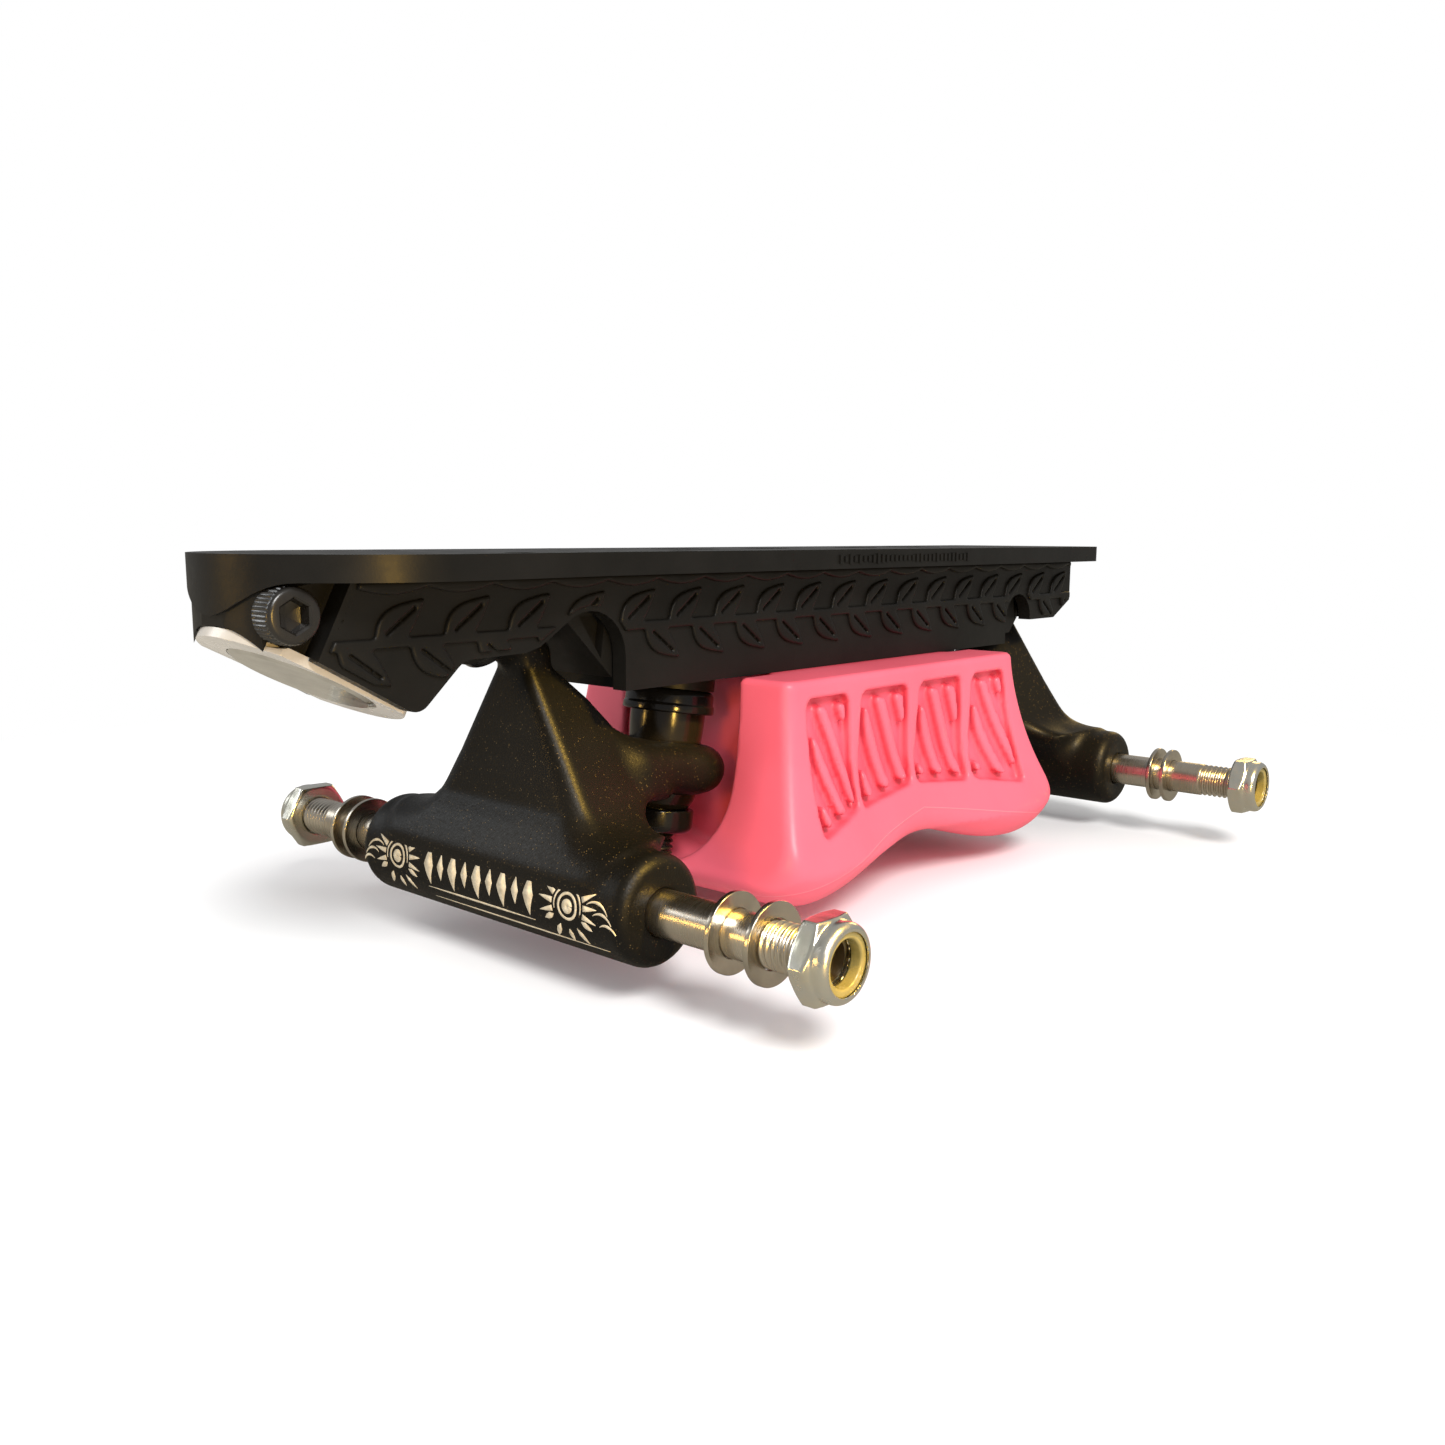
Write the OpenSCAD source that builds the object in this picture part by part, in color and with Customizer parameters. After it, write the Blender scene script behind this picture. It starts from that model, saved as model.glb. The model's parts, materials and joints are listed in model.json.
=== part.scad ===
// Plate of a quad roller skate: a moulded deck and keel, two sprung trucks with their axles,
// a slide block between the trucks and a plug in the toe-stop socket.
// Millimetres, +Z up, the toe towards -Y. Inside the modules Y = 0 lies midway between the axles
// and Z = 0 is the height of their centres. placed() then sets the part on its own origin,
// the middle of its footprint on the ground.

/* [Deck] */
// Width of the deck along its waist
deck_w = 46; // [42:1:54]
// Width of the deck across its round nose
nose_w = 52; // [50:1:60]
// Distance from mid wheelbase forward to the centre of the nose
nose_y = 118; // [114:1:124]
// Distance from mid wheelbase forward to where the sides start to flare
flare_y = 85; // [70:1:100]
// Distance from mid wheelbase back to the heel edge
heel_y = 103.5; // [101:0.5:115]
// Thickness of the deck
deck_t = 4; // [3:0.5:6]
// Height of the deck's top above the axle centres
deck_top = 59; // [58:0.5:64]
// Corner radius of the heel edge
heel_r = 5; // [2:1:12]
// Depth of the chin under the nose, at its middle
chin_depth = 5; // [2:0.5:5]
// Diameter of the boot bolt holes
boot_hole_d = 5.2; // [4:0.1:6]

/* [Keel] */
// Width across the keel's side walls
keel_w = 30; // [28:1:34]
// Height of the keel's flat underside above the axle centres
keel_bottom = 33.8; // [33:0.2:35]
// Distance from mid wheelbase forward to the keel's end at the front arch
keel_front_y = 74; // [72:0.5:75]
// Distance from mid wheelbase back to the keel's end at the rear arch
keel_rear_y = 64.5; // [62:0.5:66]
// Width of the core that carries the trucks inside the arches
core_w = 22; // [20:1:24]

/* [Toe stop socket] */
// Diameter of the toe plug's stem
stem_d = 15.9; // [14:0.1:16]
// Lean of the stem from upright, its foot towards the toe
stem_lean = 27.5; // [25:0.5:29]
// Diameter of the toe plug's pad
pad_d = 33; // [30:0.5:33]
// Width of the pad across the two flats on its sides
pad_flat_w = 24; // [24:0.5:25]
// Outer diameter of the socket round the stem
socket_d = 26; // [24:1:28]
// Diameter of the clamp bolt's thread
clamp_d = 5; // [4:0.5:5]
// Width across the two clamp lugs
lug_w = 21; // [17:1:21]
// Width of the slit that the clamp bolt closes
slit_w = 2.4; // [1.5:0.1:3]

/* [Trucks] */
// Distance between the axle centres
wheelbase = 175; // [174:1:178]
// Diameter of the axles
axle_d = 8; // [7:0.5:8]
// Length of each axle
axle_len = 144; // [138:1:150]
// Diameter of the hanger's barrel round the axle
barrel_d = 19.5; // [18:0.5:20]
// Length of the hanger's barrel
barrel_len = 75; // [70:1:76]
// Diameter of the kingpins
kingpin_d = 8; // [6:0.5:8]
// Lean of the kingpins from upright
kingpin_lean = 9; // [8:0.5:12]
// Height of the steering rings' centres above the axle centres
ring_z = 15; // [14.6:0.1:15.6]
// Outer diameter of the steering ring
ring_d = 25.8; // [24:0.2:26]
// Thickness of the steering ring
ring_t = 9.8; // [9:0.2:10]
// Angle of the steering axis from level
steer_angle = 35.4; // [34.6:0.1:36.2]
// Diameter of the pivot at the top of the hanger
pivot_d = 8.5; // [8:0.5:9]

/* [Cushions] */
// Diameter of the upper cushion
upper_cushion_d = 15; // [13:0.5:15]
// Diameter of the lower cushion at its wide end
lower_cushion_d = 15.2; // [14:0.2:16]
// Height of the upper cushion that shows between ring and cup washer
upper_gap = 6.6; // [6:0.2:7.2]
// Height of the lower cushion that shows between ring and cup nut
lower_gap = 3.8; // [3.4:0.2:4.4]
// Outer diameter of the lower cup nut
lower_cup_d = 15; // [14.6:0.2:17]
// Height of the upper cup washer
upper_cup_h = 4.4; // [4:0.2:4.6]
// Height of the lower cup nut
lower_cup_h = 4.8; // [4:0.2:5.2]

/* [Axle nuts and washers] */
// Width across the flats of the axle nuts
nut_af = 13; // [12:0.5:14]
// Length of the axle nuts
nut_len = 6.4; // [6:0.2:7.4]
// Distance that an axle's end reaches into its nuts
nut_grip = 3; // [2:0.5:3.5]
// Outer diameter of the speed washers
washer_d = 13.5; // [12:0.5:15]
// Thickness of the speed washers
washer_t = 1; // [0.6:0.1:1.4]

/* [Slide block] */
// Width of the block at its top
block_w = 58; // [54:1:62]
// Length of the block at its top
block_len = 88; // [86:1:94]
// Depth that the lobes reach below the axle centres
lobe_depth = 11.5; // [10.6:0.1:12.5]
// Rise of the groove between the lobes
groove_rise = 7.3; // [5:0.1:9]
// Distance from mid block to the lowest point of each lobe
lobe_y = 40; // [38:1:42]
// Width of the troughs that take the kingpins
trough_w = 32; // [31:1:34]
// Depth of the panels in the block's sides
panel_depth = 2; // [1:0.5:3]
// Distance between the two bolts that hold the block
block_bolt_pitch = 34; // [28:1:38]

/* [Hidden] */

$fn = 64;
eps = 0.01;
run_fit = 0.05;     // radial clearance of pieces that turn or slide on each other
close_fit = 0.03;   // radial clearance of a nut, an insert or a hanger on its axle
bolt_fit = 0.2;     // radial clearance of a bolt in its hole
soft_gap = 0.3;     // room between a cushion and the metal that it works against

deck_bottom = deck_top - deck_t;
deck_len = nose_y + nose_w / 2 + heel_y;
mid_y = (heel_y - nose_y - nose_w / 2) / 2;
axle_y = wheelbase / 2;
hex_point = 2 / sqrt(3);   // across the corners for each unit across the flats

// A point given along (t) and across (w, downwards) the steering axis, from the ring's centre.
ring_back = 38.1;                // distance from an axle back to its steering ring
ring_y = axle_y - ring_back;
ring_c = [-ring_y, ring_z];
steer_u = [-cos(steer_angle), sin(steer_angle)];
steer_w = [-sin(steer_angle), -cos(steer_angle)];
function steer_pt(t, w = 0) = ring_c + t * steer_u + w * steer_w;

// Stations along the steering axis
pivot_mouth = 52.3;
pivot_ball = 55;
pivot_root = 43;
cup_lip_t = 2;
cup_wall = 3;
cup_lip_extra = 0.8;
cup_floor = 1.2;
socket_wall = 1.4;

// Stations along the kingpin, from the ring's centre upwards
upper_cup_s = ring_t / 2 + upper_gap + upper_cup_h;
boss_d = 18;
lower_cup_s = -ring_t / 2 - lower_gap;
kingpin_head_af = 13;
kingpin_head_t = 5.3;
kingpin_tail = 5;                // length of the kingpin below its cup nut
kingpin_head_s = (deck_top - ring_z) / cos(kingpin_lean) - 0.6
                 - kingpin_head_af * hex_point / 2 * tan(kingpin_lean) - kingpin_head_t;
ring_bore_d = kingpin_d + 5;
cup_t = 1.2;
upper_cup_play = 0.25;           // further room round the upper cushion inside its cup
upper_cup_d = upper_cushion_d + 2 * (soft_gap + upper_cup_play + cup_t);

// Toe-stop socket: the pad's seat lies on a plane square to the stem
seat_y = -128.6;
seat_z = 40.8;
stem_axis = [-sin(stem_lean), cos(stem_lean)];
pad_t = 1.65;
pad_sink = 0.6;                  // depth of the seat for the plug's head in the pad
plug_head_d = 23.6;
plug_head_t = 0.9;
socket_up = 21;
stem_up = (deck_top - 1.5 - seat_z - stem_d / 2 * sin(stem_lean)) / cos(stem_lean);
clamp_setback = 10.1;            // from the middle of the pad's seat forward to the clamp bolt
clamp_y = seat_y - clamp_setback;
clamp_head_d = 1.7 * clamp_d;
clamp_head_h = clamp_d;
clamp_z = deck_bottom - clamp_head_d / 2 - 0.4;
insert_x = -6.6;                 // the threaded insert lies inside the far lug
insert_len = 4.6;
slit_front = -nose_y - nose_w / 2 + 1.5;   // the slit ends behind the nose's front edge
insert_od = 7;

// Block bolts
bolt_d = 6;
bolt_head_d = 10;
bolt_head_h = 6;
bolt_seat_z = 7;
bolt_nut_z = 48;
bolt_nut_t = 5;
bolt_nut_af = 10;
bolt_washer_t = 1.2;
bolt_washer_d = 12;
bolt_hex_af = 5;

// Slide block
block_top = keel_bottom;
block_flare_z = 17;
block_flare_r = 28.5;
end_flare_z = 20;
end_flare_r = 36;
lobe_r = 21;
trough_back = 33;
trough_round_z = 11;
edge_r = 10;
block_foot_w = block_w + 2 * 8.6;
parting_z = -3;
panel_top = 30;
// Each panel in the block's side: its two ends along Y, then the height of its lower corners
panel_edges = [[-39.5, -23.5, 3, 6], [-20.5, -1.5, 5.6, 8], [1.5, 20.5, 8, 5.6], [23.5, 39.5, 6, 3]];

// Side walls of the keel
toe_wall_z = 42;
toe_slope_y = -108;
toe_corner_y = -116.3;
toe_corner_z = 35.4;
front_arch_r = 8.5;
rear_arch_r = 6.6;
heel_wall_z = 39.5;
heel_end_gap = 3;
heel_chamfer = 4.6;
wall_front = [seat_y - 6.7, seat_z + 2.8];   // where the walls end at the toe, under the socket
core_foot_z = keel_bottom + 2.2;

// Boot bolts
boot_edge = 1.6;                 // deck left between a boot hole and the deck's side
boot_hole_x = deck_w / 2 - boot_hole_d / 2 - boot_edge;
boot_front_ys = [-101, -63];
boot_rear_ys = [58, 94];
boot_hole_ys = concat(boot_front_ys, boot_rear_ys);

// Hanger
arm_top_z = 42;
arm_top_half = 2.75;
arm_taper = 0.642;               // widening of the arm for each unit downwards
arm_flare_x = 31;
neck_end = 28;                   // distance from the axle back to where the web meets the neck
barrel_edge_r = 2.6;

// Axle nuts with their nylon inserts
nut_x = axle_len / 2 - nut_grip;
nut_hex_len = 3.7;
collar_d = nut_af - 0.5;
insert_ring_d = 10.4;
insert_ring_t = 2.2;
insert_ring_bore = 7.4;

// Where the loose washers lie, measured in from the axle's end: [inner, outer]
front_left_in = [23.6, 19];
front_right_in = [19, 11];
rear_left_in = [23, 15];
rear_right_in = [23.4, 19.8];
function washer_in(side, hand) =
    side == "front" ? (hand == "left" ? front_left_in : front_right_in)
                    : (hand == "left" ? rear_left_in : rear_right_in);

// ---- helpers ----

// Puts the part on its origin: footprint centre, on the ground.
module placed() {
    translate([0, -mid_y, lobe_depth]) children();
}

// Draws its children for the front truck, or mirrored for the rear one.
module at_truck(side) {
    if (side == "front") children();
    else mirror([0, 1, 0]) children();
}

// Turns an outline drawn in (y, z) into a plate of width w, centred on X = 0.
module side_plate(w) {
    translate([-w / 2, 0, 0])
        rotate([90, 0, 90])
            linear_extrude(w) children();
}

// Turns an outline drawn in (x, z) into a bar along Y.
module cross_bar(y0, y1) {
    translate([0, y1, 0])
        rotate([90, 0, 0])
            linear_extrude(y1 - y0) children();
}

// Local Z runs up the steering axis from the ring's centre.
module on_steer_axis() {
    translate([0, ring_c[0], ring_c[1]])
        rotate([90 - steer_angle, 0, 0]) children();
}

// Local Z runs up the kingpin from the ring's centre.
module on_kingpin() {
    translate([0, ring_c[0], ring_c[1]])
        rotate([-kingpin_lean, 0, 0]) children();
}

// Local Z runs up the toe stem from the middle of the pad's seat.
module on_stem() {
    translate([0, seat_y, seat_z])
        rotate([-stem_lean, 0, 0]) children();
}

module hex_prism(af, h) {
    cylinder(d = af * hex_point, h = h, $fn = 6);
}

module along_x() {
    rotate([0, 90, 0]) children();
}

// ---- baseplate ----

module deck_outline() {
    translate([-deck_w / 2, -flare_y]) square([deck_w, flare_y + heel_y - heel_r]);
    translate([heel_r - deck_w / 2, 0]) square([deck_w - 2 * heel_r, heel_y]);
    for (side = [-1, 1])
        translate([side * (deck_w / 2 - heel_r), heel_y - heel_r]) circle(heel_r);
    polygon([[-deck_w / 2, eps - flare_y], [deck_w / 2, eps - flare_y],
             [nose_w / 2, -nose_y], [-nose_w / 2, -nose_y]]);
    translate([0, -nose_y]) circle(nose_w / 2, $fn = 96);
}

// The chin's lower edge is a smooth swell, deepest at the middle of the nose.
module chin_front(half_w = 16, steps = 24) {
    edge = [for (i = [0 : steps]) let (x = -half_w + 2 * half_w * i / steps)
            [x, deck_bottom - chin_depth * (1 + cos(180 * x / half_w)) / 2]];
    polygon(concat(edge, [[half_w, deck_bottom + 1], [-half_w, deck_bottom + 1]]));
}

module chin(wall = 4) {
    intersection() {
        cross_bar(-nose_y - nose_w, -nose_y) chin_front();
        translate([0, -nose_y, 0])
            difference() {
                cylinder(d = nose_w, h = deck_top, $fn = 96);
                translate([0, 0, -1]) cylinder(d = nose_w - 2 * wall, h = deck_top + 2);
            }
    }
}

// Outline of the side walls from the toe to the heel, with the arches over both trucks.

function arc(c, r, a0, a1, n = 10) =
    [for (i = [0 : n]) let (a = a0 + (a1 - a0) * i / n) c + r * [cos(a), sin(a)]];

module wall_outline() {
    arch_c = [-keel_front_y - front_arch_r, keel_bottom + 6.4];
    rear_c = [keel_rear_y + rear_arch_r, keel_bottom + 6.2];
    heel_wall_y = rear_c[0] + sqrt(pow(rear_arch_r, 2) - pow(rear_c[1] - heel_wall_z, 2));
    heel_end = heel_y - heel_end_gap;
    polygon(concat(
        [[-keel_front_y, keel_bottom]],
        arc(arch_c, front_arch_r, 0, 128),
        [[-94, toe_wall_z + 1.1], [-97, toe_wall_z + 0.3], [toe_slope_y, toe_wall_z]],
        arc([toe_slope_y, toe_wall_z - 4], 4, 90, 135, 4),
        arc([toe_corner_y - 2.5, toe_corner_z + 2.2], 3, -45, -90 - stem_lean, 6),
        [wall_front],
        [wall_front - (deck_bottom + 1 - wall_front[1]) / stem_axis[1] * [stem_axis[0], -stem_axis[1]]],
        [[heel_end, deck_bottom + 1], [heel_end, heel_wall_z + heel_chamfer]],
        [[heel_end - 2 * heel_chamfer, heel_wall_z], [heel_wall_y, heel_wall_z]],
        arc(rear_c, rear_arch_r, asin((heel_wall_z - rear_c[1]) / rear_arch_r), 180),
        [[keel_rear_y, keel_bottom]]
    ));
}

// Room between the side walls for the top of a hanger.
module arm_pocket_outline() {
    polygon([[-72, keel_bottom - 2], [-72, 46], steer_pt(50, -9), steer_pt(pivot_mouth, -10),
             steer_pt(pivot_mouth, 14), [-96, keel_bottom - 2]]);
}

// Core behind an arch: its sloping front follows the hanger's back edge.
module core_outline() {
    slope_foot = -37.8 - core_foot_z;
    polygon([[-58, core_foot_z], [slope_foot, core_foot_z],
             [slope_foot - 14, core_foot_z + 14], [slope_foot - 14, deck_bottom + 1],
             [-58, deck_bottom + 1]]);
}

// Sharp pocket moulded into each side of a core.
module core_pockets(depth = 2) {
    for (side = [-1, 1])
        translate([side * core_w / 2, 0, 0])
            side_plate(2 * depth)
                polygon([[-75.2, 47.5], [-81.6, 47.5], [-76.4, 39.6]]);
}

module boot_holes() {
    for (x = [-boot_hole_x, boot_hole_x], y = boot_hole_ys)
        translate([x, y, deck_bottom - 2]) cylinder(d = boot_hole_d, h = deck_t + 4);
}

module socket_solid() {
    on_stem() cylinder(d = socket_d, h = socket_up);
    lug_front = clamp_y - 4.6;
    intersection() {
        side_plate(lug_w)
            polygon([[seat_y, seat_z], [lug_front, seat_z], [lug_front, deck_bottom + 1],
                     [seat_y, deck_bottom + 1]]);
        translate([0, -nose_y, 0]) cylinder(d = nose_w - 1, h = deck_top);
    }
}

// Outline of the pad: a disc with a flat on each side.
module pad_outline(grow = 0) {
    intersection() {
        circle(pad_d / 2 + grow, $fn = 96);
        square([pad_flat_w + 2 * grow, pad_d + 1], center = true);
    }
}

// Recess in the toe that the plug's pad seats in.
module pad_recess() {
    on_stem() translate([0, 0, -30]) linear_extrude(30) pad_outline(0.4);
}

module kingpin_boss() {
    on_kingpin()
        translate([0, 0, upper_cup_s + run_fit]) cylinder(d = boss_d, h = 8);
}

module pivot_boss() {
    cup_d = pivot_d + 2 * cup_wall;
    on_steer_axis()
        translate([0, 0, pivot_mouth + cup_lip_t])
            cylinder(d = cup_d + 2 * socket_wall, h = 10);
}

// Bores of one truck: the kingpin with its head's hexagonal pocket, and the pivot cup's seat.
module truck_bores() {
    cup_d = pivot_d + 2 * cup_wall;
    on_kingpin() {
        cylinder(d = kingpin_d + 2 * run_fit, h = 60);
        translate([0, 0, kingpin_head_s]) hex_prism(kingpin_head_af + 0.4, 20);
    }
    on_steer_axis()
        translate([0, 0, pivot_mouth])
            cylinder(d = cup_d + 2 * run_fit, h = pivot_ball + pivot_d / 2 + cup_floor - pivot_mouth);
    on_steer_axis()
        translate([0, 0, pivot_mouth - 1])
            cylinder(d = cup_d + 2 * cup_lip_extra + 1, h = cup_lip_t + 1);
}

module baseplate() {
    color("#232320")
        placed()
            difference() {
                union() {
                    translate([0, 0, deck_bottom]) linear_extrude(deck_t) deck_outline();
                    chin();
                    difference() {
                        side_plate(keel_w) wall_outline();
                        for (truck = ["front", "rear"])
                            at_truck(truck) side_plate(core_w + 1.2) arm_pocket_outline();
                    }
                    for (truck = ["front", "rear"])
                        at_truck(truck) {
                            difference() {
                                side_plate(core_w) core_outline();
                                core_pockets();
                            }
                            kingpin_boss();
                            intersection() {
                                pivot_boss();
                                translate([-keel_w / 2, 0.3 - heel_y, 0])
                                    cube([keel_w, heel_y, deck_bottom + 1]);
                            }
                        }
                    difference() {
                        socket_solid();
                        translate([-nose_w, -nose_y - nose_w, deck_top])
                            cube([2 * nose_w, 2 * nose_w, 30]);
                    }
                }
                pad_recess();
                boot_holes();
                for (truck = ["front", "rear"])
                    at_truck(truck) truck_bores();
                on_stem() translate([0, 0, -1]) cylinder(d = stem_d + 2 * bolt_fit, h = stem_up + 1.2);
                side_plate(slit_w)
                    polygon([[seat_y, seat_z - 5], [seat_y, deck_bottom], [slit_front, deck_bottom],
                             [slit_front, seat_z - 5]]);
                translate([insert_x, clamp_y, clamp_z]) {
                    along_x() cylinder(d = clamp_d + 2 * bolt_fit, h = keel_w);
                    along_x() cylinder(d = insert_od + 2 * close_fit, h = insert_len);
                    translate([lug_w / 2 - insert_x, 0, 0])
                        along_x() cylinder(d = clamp_head_d + 0.5, h = keel_w);
                }
                for (side = [-1, 1])
                    translate([0, side * block_bolt_pitch / 2, 0]) {
                        cylinder(d = bolt_d + 2 * bolt_fit, h = deck_top + 1);
                        translate([0, 0, bolt_nut_z]) hex_prism(bolt_nut_af + 0.4, 20);
                    }
            }
}

// ---- toe stop ----

// Socket-head screw along local Z: the head's underside lies at Z = 0, the shank below it.
module socket_screw(d, head_d, head_h, len, hex_af) {
    difference() {
        rotate_extrude()
            polygon([[0, -len], [d / 2 - 0.5, -len], [d / 2, 0.5 - len], [d / 2, 0],
                     [head_d / 2, 0], [head_d / 2, head_h - 0.6], [head_d / 2 - 0.6, head_h],
                     [0, head_h]]);
        translate([0, 0, head_h / 2]) hex_prism(hex_af, head_h);
    }
}

// Hexagon nut along local Z with turned corners at both ends.
module hex_nut(af, h, bore_d) {
    corner = af * hex_point / 2;
    turned = corner - af / 2;
    difference() {
        intersection() {
            hex_prism(af, h);
            rotate_extrude()
                polygon([[0, 0], [af / 2, 0], [corner, turned / 2], [corner, h - turned / 2],
                         [af / 2, h], [0, h]]);
        }
        translate([0, 0, -1]) cylinder(d = bore_d, h = h + 2);
    }
}

module toe_clamp_bolt() {
    shank = lug_w / 2 - insert_x - 0.2;
    color("#141414")
        placed()
            translate([lug_w / 2 + run_fit, clamp_y, clamp_z])
                along_x() socket_screw(clamp_d, clamp_head_d, clamp_head_h, shank, 5);
}

module toe_clamp_insert() {
    color("#b08d3c")
        placed()
            translate([insert_x, clamp_y, clamp_z])
                along_x()
                    difference() {
                        cylinder(d = insert_od, h = insert_len);
                        translate([0, 0, -1]) cylinder(d = clamp_d + 2 * close_fit, h = insert_len + 2);
                    }
}

// Flat pad with a seat for the plug's head, and a notch in its rim for the clamp bolt's head.
module toe_plug_pad() {
    color("#e9e4d8")
        placed()
            difference() {
                on_stem()
                    difference() {
                        translate([0, 0, -pad_t]) linear_extrude(pad_t - run_fit) pad_outline();
                        translate([0, 0, -pad_t - 1]) cylinder(d = stem_d + 2 * run_fit, h = pad_t + 2);
                        translate([0, 0, -pad_t - 1])
                            cylinder(d = plug_head_d + 2 * run_fit, h = pad_sink + 1, $fn = 96);
                    }
                translate([lug_w / 2 - 1, clamp_y, clamp_z])
                    along_x() cylinder(d = clamp_head_d + 1, h = keel_w);
            }
}

// Stem of the plug with its wide flat head, which shows below the pad.
module toe_plug_stem() {
    head_r = plug_head_d / 2 - run_fit;
    head_z = pad_sink - pad_t - run_fit;
    color("#a9abae")
        placed()
            on_stem()
                rotate_extrude($fn = 96)
                    polygon([[0, head_z - plug_head_t], [head_r - 1, head_z - plug_head_t],
                             [head_r, head_z - plug_head_t + 0.4], [head_r, head_z],
                             [stem_d / 2, head_z], [stem_d / 2, stem_up - 1],
                             [stem_d / 2 - 1, stem_up], [0, stem_up]]);
}

// ---- slide block ----

// Lower edge of the block from one end to the other: a groove between two round lobes.
function lobe_profile(n = 24) =
    [for (i = [-n : n]) let (y = lobe_y * i / n)
        [y, groove_rise * (1 + cos(180 * y / lobe_y)) / 2 - lobe_depth]];

module lobe_region(height = 60) {
    reach = lobe_y + lobe_r;
    polygon(concat([[-reach, height], [-reach, lobe_r - lobe_depth]], lobe_profile(),
                   [[reach, lobe_r - lobe_depth], [reach, height]]));
    for (side = [-1, 1])
        translate([side * lobe_y, lobe_r - lobe_depth])
            circle(lobe_r, $fn = 96);
}

// Side view: straight ends that flare out towards the lobes.
module block_side() {
    end = block_len / 2;
    flare_low = -lobe_depth - 1;
    intersection() {
        lobe_region();
        difference() {
            polygon([[-end - 16, flare_low], [end + 16, flare_low],
                     [end + 16, -6], [end, end_flare_z], [end, block_top],
                     [-end, block_top], [-end, end_flare_z], [-end - 16, -6]]);
            for (side = [-1, 1])
                translate([side * (end + end_flare_r), end_flare_z])
                    circle(end_flare_r, $fn = 128);
        }
    }
}

// End view: straight sides that flare out towards the parting line.
module block_end(inset = 0) {
    half = block_w / 2 - inset;
    foot = block_foot_w / 2 - inset;
    difference() {
        polygon([[-foot, -lobe_depth - 1], [foot, -lobe_depth - 1], [foot, parting_z],
                 [half, block_flare_z], [half, block_top], [-half, block_top],
                 [-half, block_flare_z], [-foot, parting_z]]);
        for (side = [-1, 1])
            translate([side * (half + block_flare_r), block_flare_z])
                circle(block_flare_r, $fn = 128);
    }
}

module trough() {
    reach = 40;
    translate([-trough_w / 2, trough_back, trough_round_z])
        cube([trough_w, reach, block_top]);
    translate([0, trough_back, trough_round_z])
        rotate([-90, 0, 0]) cylinder(d = trough_w, h = reach, $fn = 96);
}

// Four panels on each side, each with raised slanting ribs.
module panel_field() {
    for (p = panel_edges)
        polygon([[p[0] - 1.5, p[2]], [p[1], p[3]], [p[1] - 0.8, panel_top], [p[0] + 0.8, panel_top]]);
}
module panel_ribs(pitch = 6.4, rib = 2.6, lean = 24, margin = 1.6) {
    intersection() {
        for (i = [-7 : 7])
            translate([i * pitch, panel_top / 2])
                rotate(lean) square([rib, 2 * panel_top], center = true);
        offset(delta = -margin) panel_field();
    }
}
module side_panels() {
    difference() {
        side_plate(2 * block_foot_w)
            difference() {
                panel_field();
                panel_ribs();
            }
        cross_bar(-60, 60) block_end(inset = panel_depth);
    }
}

module slide_block() {
    color("#f4828f")
        placed()
            difference() {
                intersection() {
                    side_plate(block_foot_w + 2) block_side();
                    cross_bar(-60, 60) block_end();
                    tilted_pair(30);
                    tilted_pair(60);
                }
                trough();
                mirror([0, 1, 0]) trough();
                side_panels();
                for (side = [-1, 1])
                    translate([0, side * block_bolt_pitch / 2, 0]) {
                        translate([0, 0, -lobe_depth]) cylinder(d = bolt_d + 2 * bolt_fit, h = 60);
                        translate([0, 0, -lobe_depth - 1])
                            cylinder(d = bolt_washer_d + 1, h = lobe_depth + 1 + bolt_seat_z);
                    }
            }
}

// Rounds the long lower edges: the lower outline again, tilted about a line inside each edge.
module tilted_pair(angle) {
    intersection_for(side = [-1, 1])
        translate([side * (block_foot_w / 2 - edge_r), 0, edge_r - lobe_depth])
            rotate([0, -side * angle, 0])
                translate([0, 0, lobe_depth - edge_r])
                    side_plate(240) lobe_region(140);
}

module at_block_bolts() {
    for (side = [-1, 1])
        translate([0, side * block_bolt_pitch / 2, 0]) children();
}

module slide_block_bolts() {
    shank = bolt_nut_z + bolt_nut_t + 1 - bolt_seat_z + bolt_washer_t;
    color("#161616")
        placed()
            at_block_bolts()
                translate([0, 0, bolt_seat_z - bolt_washer_t - 2 * run_fit])
                    mirror([0, 0, 1]) socket_screw(bolt_d, bolt_head_d, bolt_head_h, shank, bolt_hex_af);
}

module slide_block_washers() {
    color("#b9bcc0")
        placed()
            at_block_bolts()
                translate([0, 0, bolt_seat_z - bolt_washer_t - run_fit])
                    difference() {
                        cylinder(d = bolt_washer_d, h = bolt_washer_t);
                        translate([0, 0, -1]) cylinder(d = bolt_d + 2 * bolt_fit, h = bolt_washer_t + 2);
                    }
}

module slide_block_nuts() {
    color("#b9bcc0")
        placed()
            at_block_bolts()
                translate([0, 0, bolt_nut_z + run_fit])
                    hex_nut(bolt_nut_af, bolt_nut_t, bolt_d + 2 * close_fit);
}

// ---- trucks ----

// Bolt whose head sits in the deck, with the shank down through cushions and ring.
module kingpin(side) {
    foot = lower_cup_s - lower_cup_h - kingpin_tail;
    color("#1b1b1d")
        placed()
            at_truck(side)
                on_kingpin() {
                    translate([0, 0, foot]) cylinder(d = kingpin_d, h = kingpin_head_s - foot + 1);
                    translate([0, 0, kingpin_head_s + run_fit]) hex_prism(kingpin_head_af, kingpin_head_t);
                }
}

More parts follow.
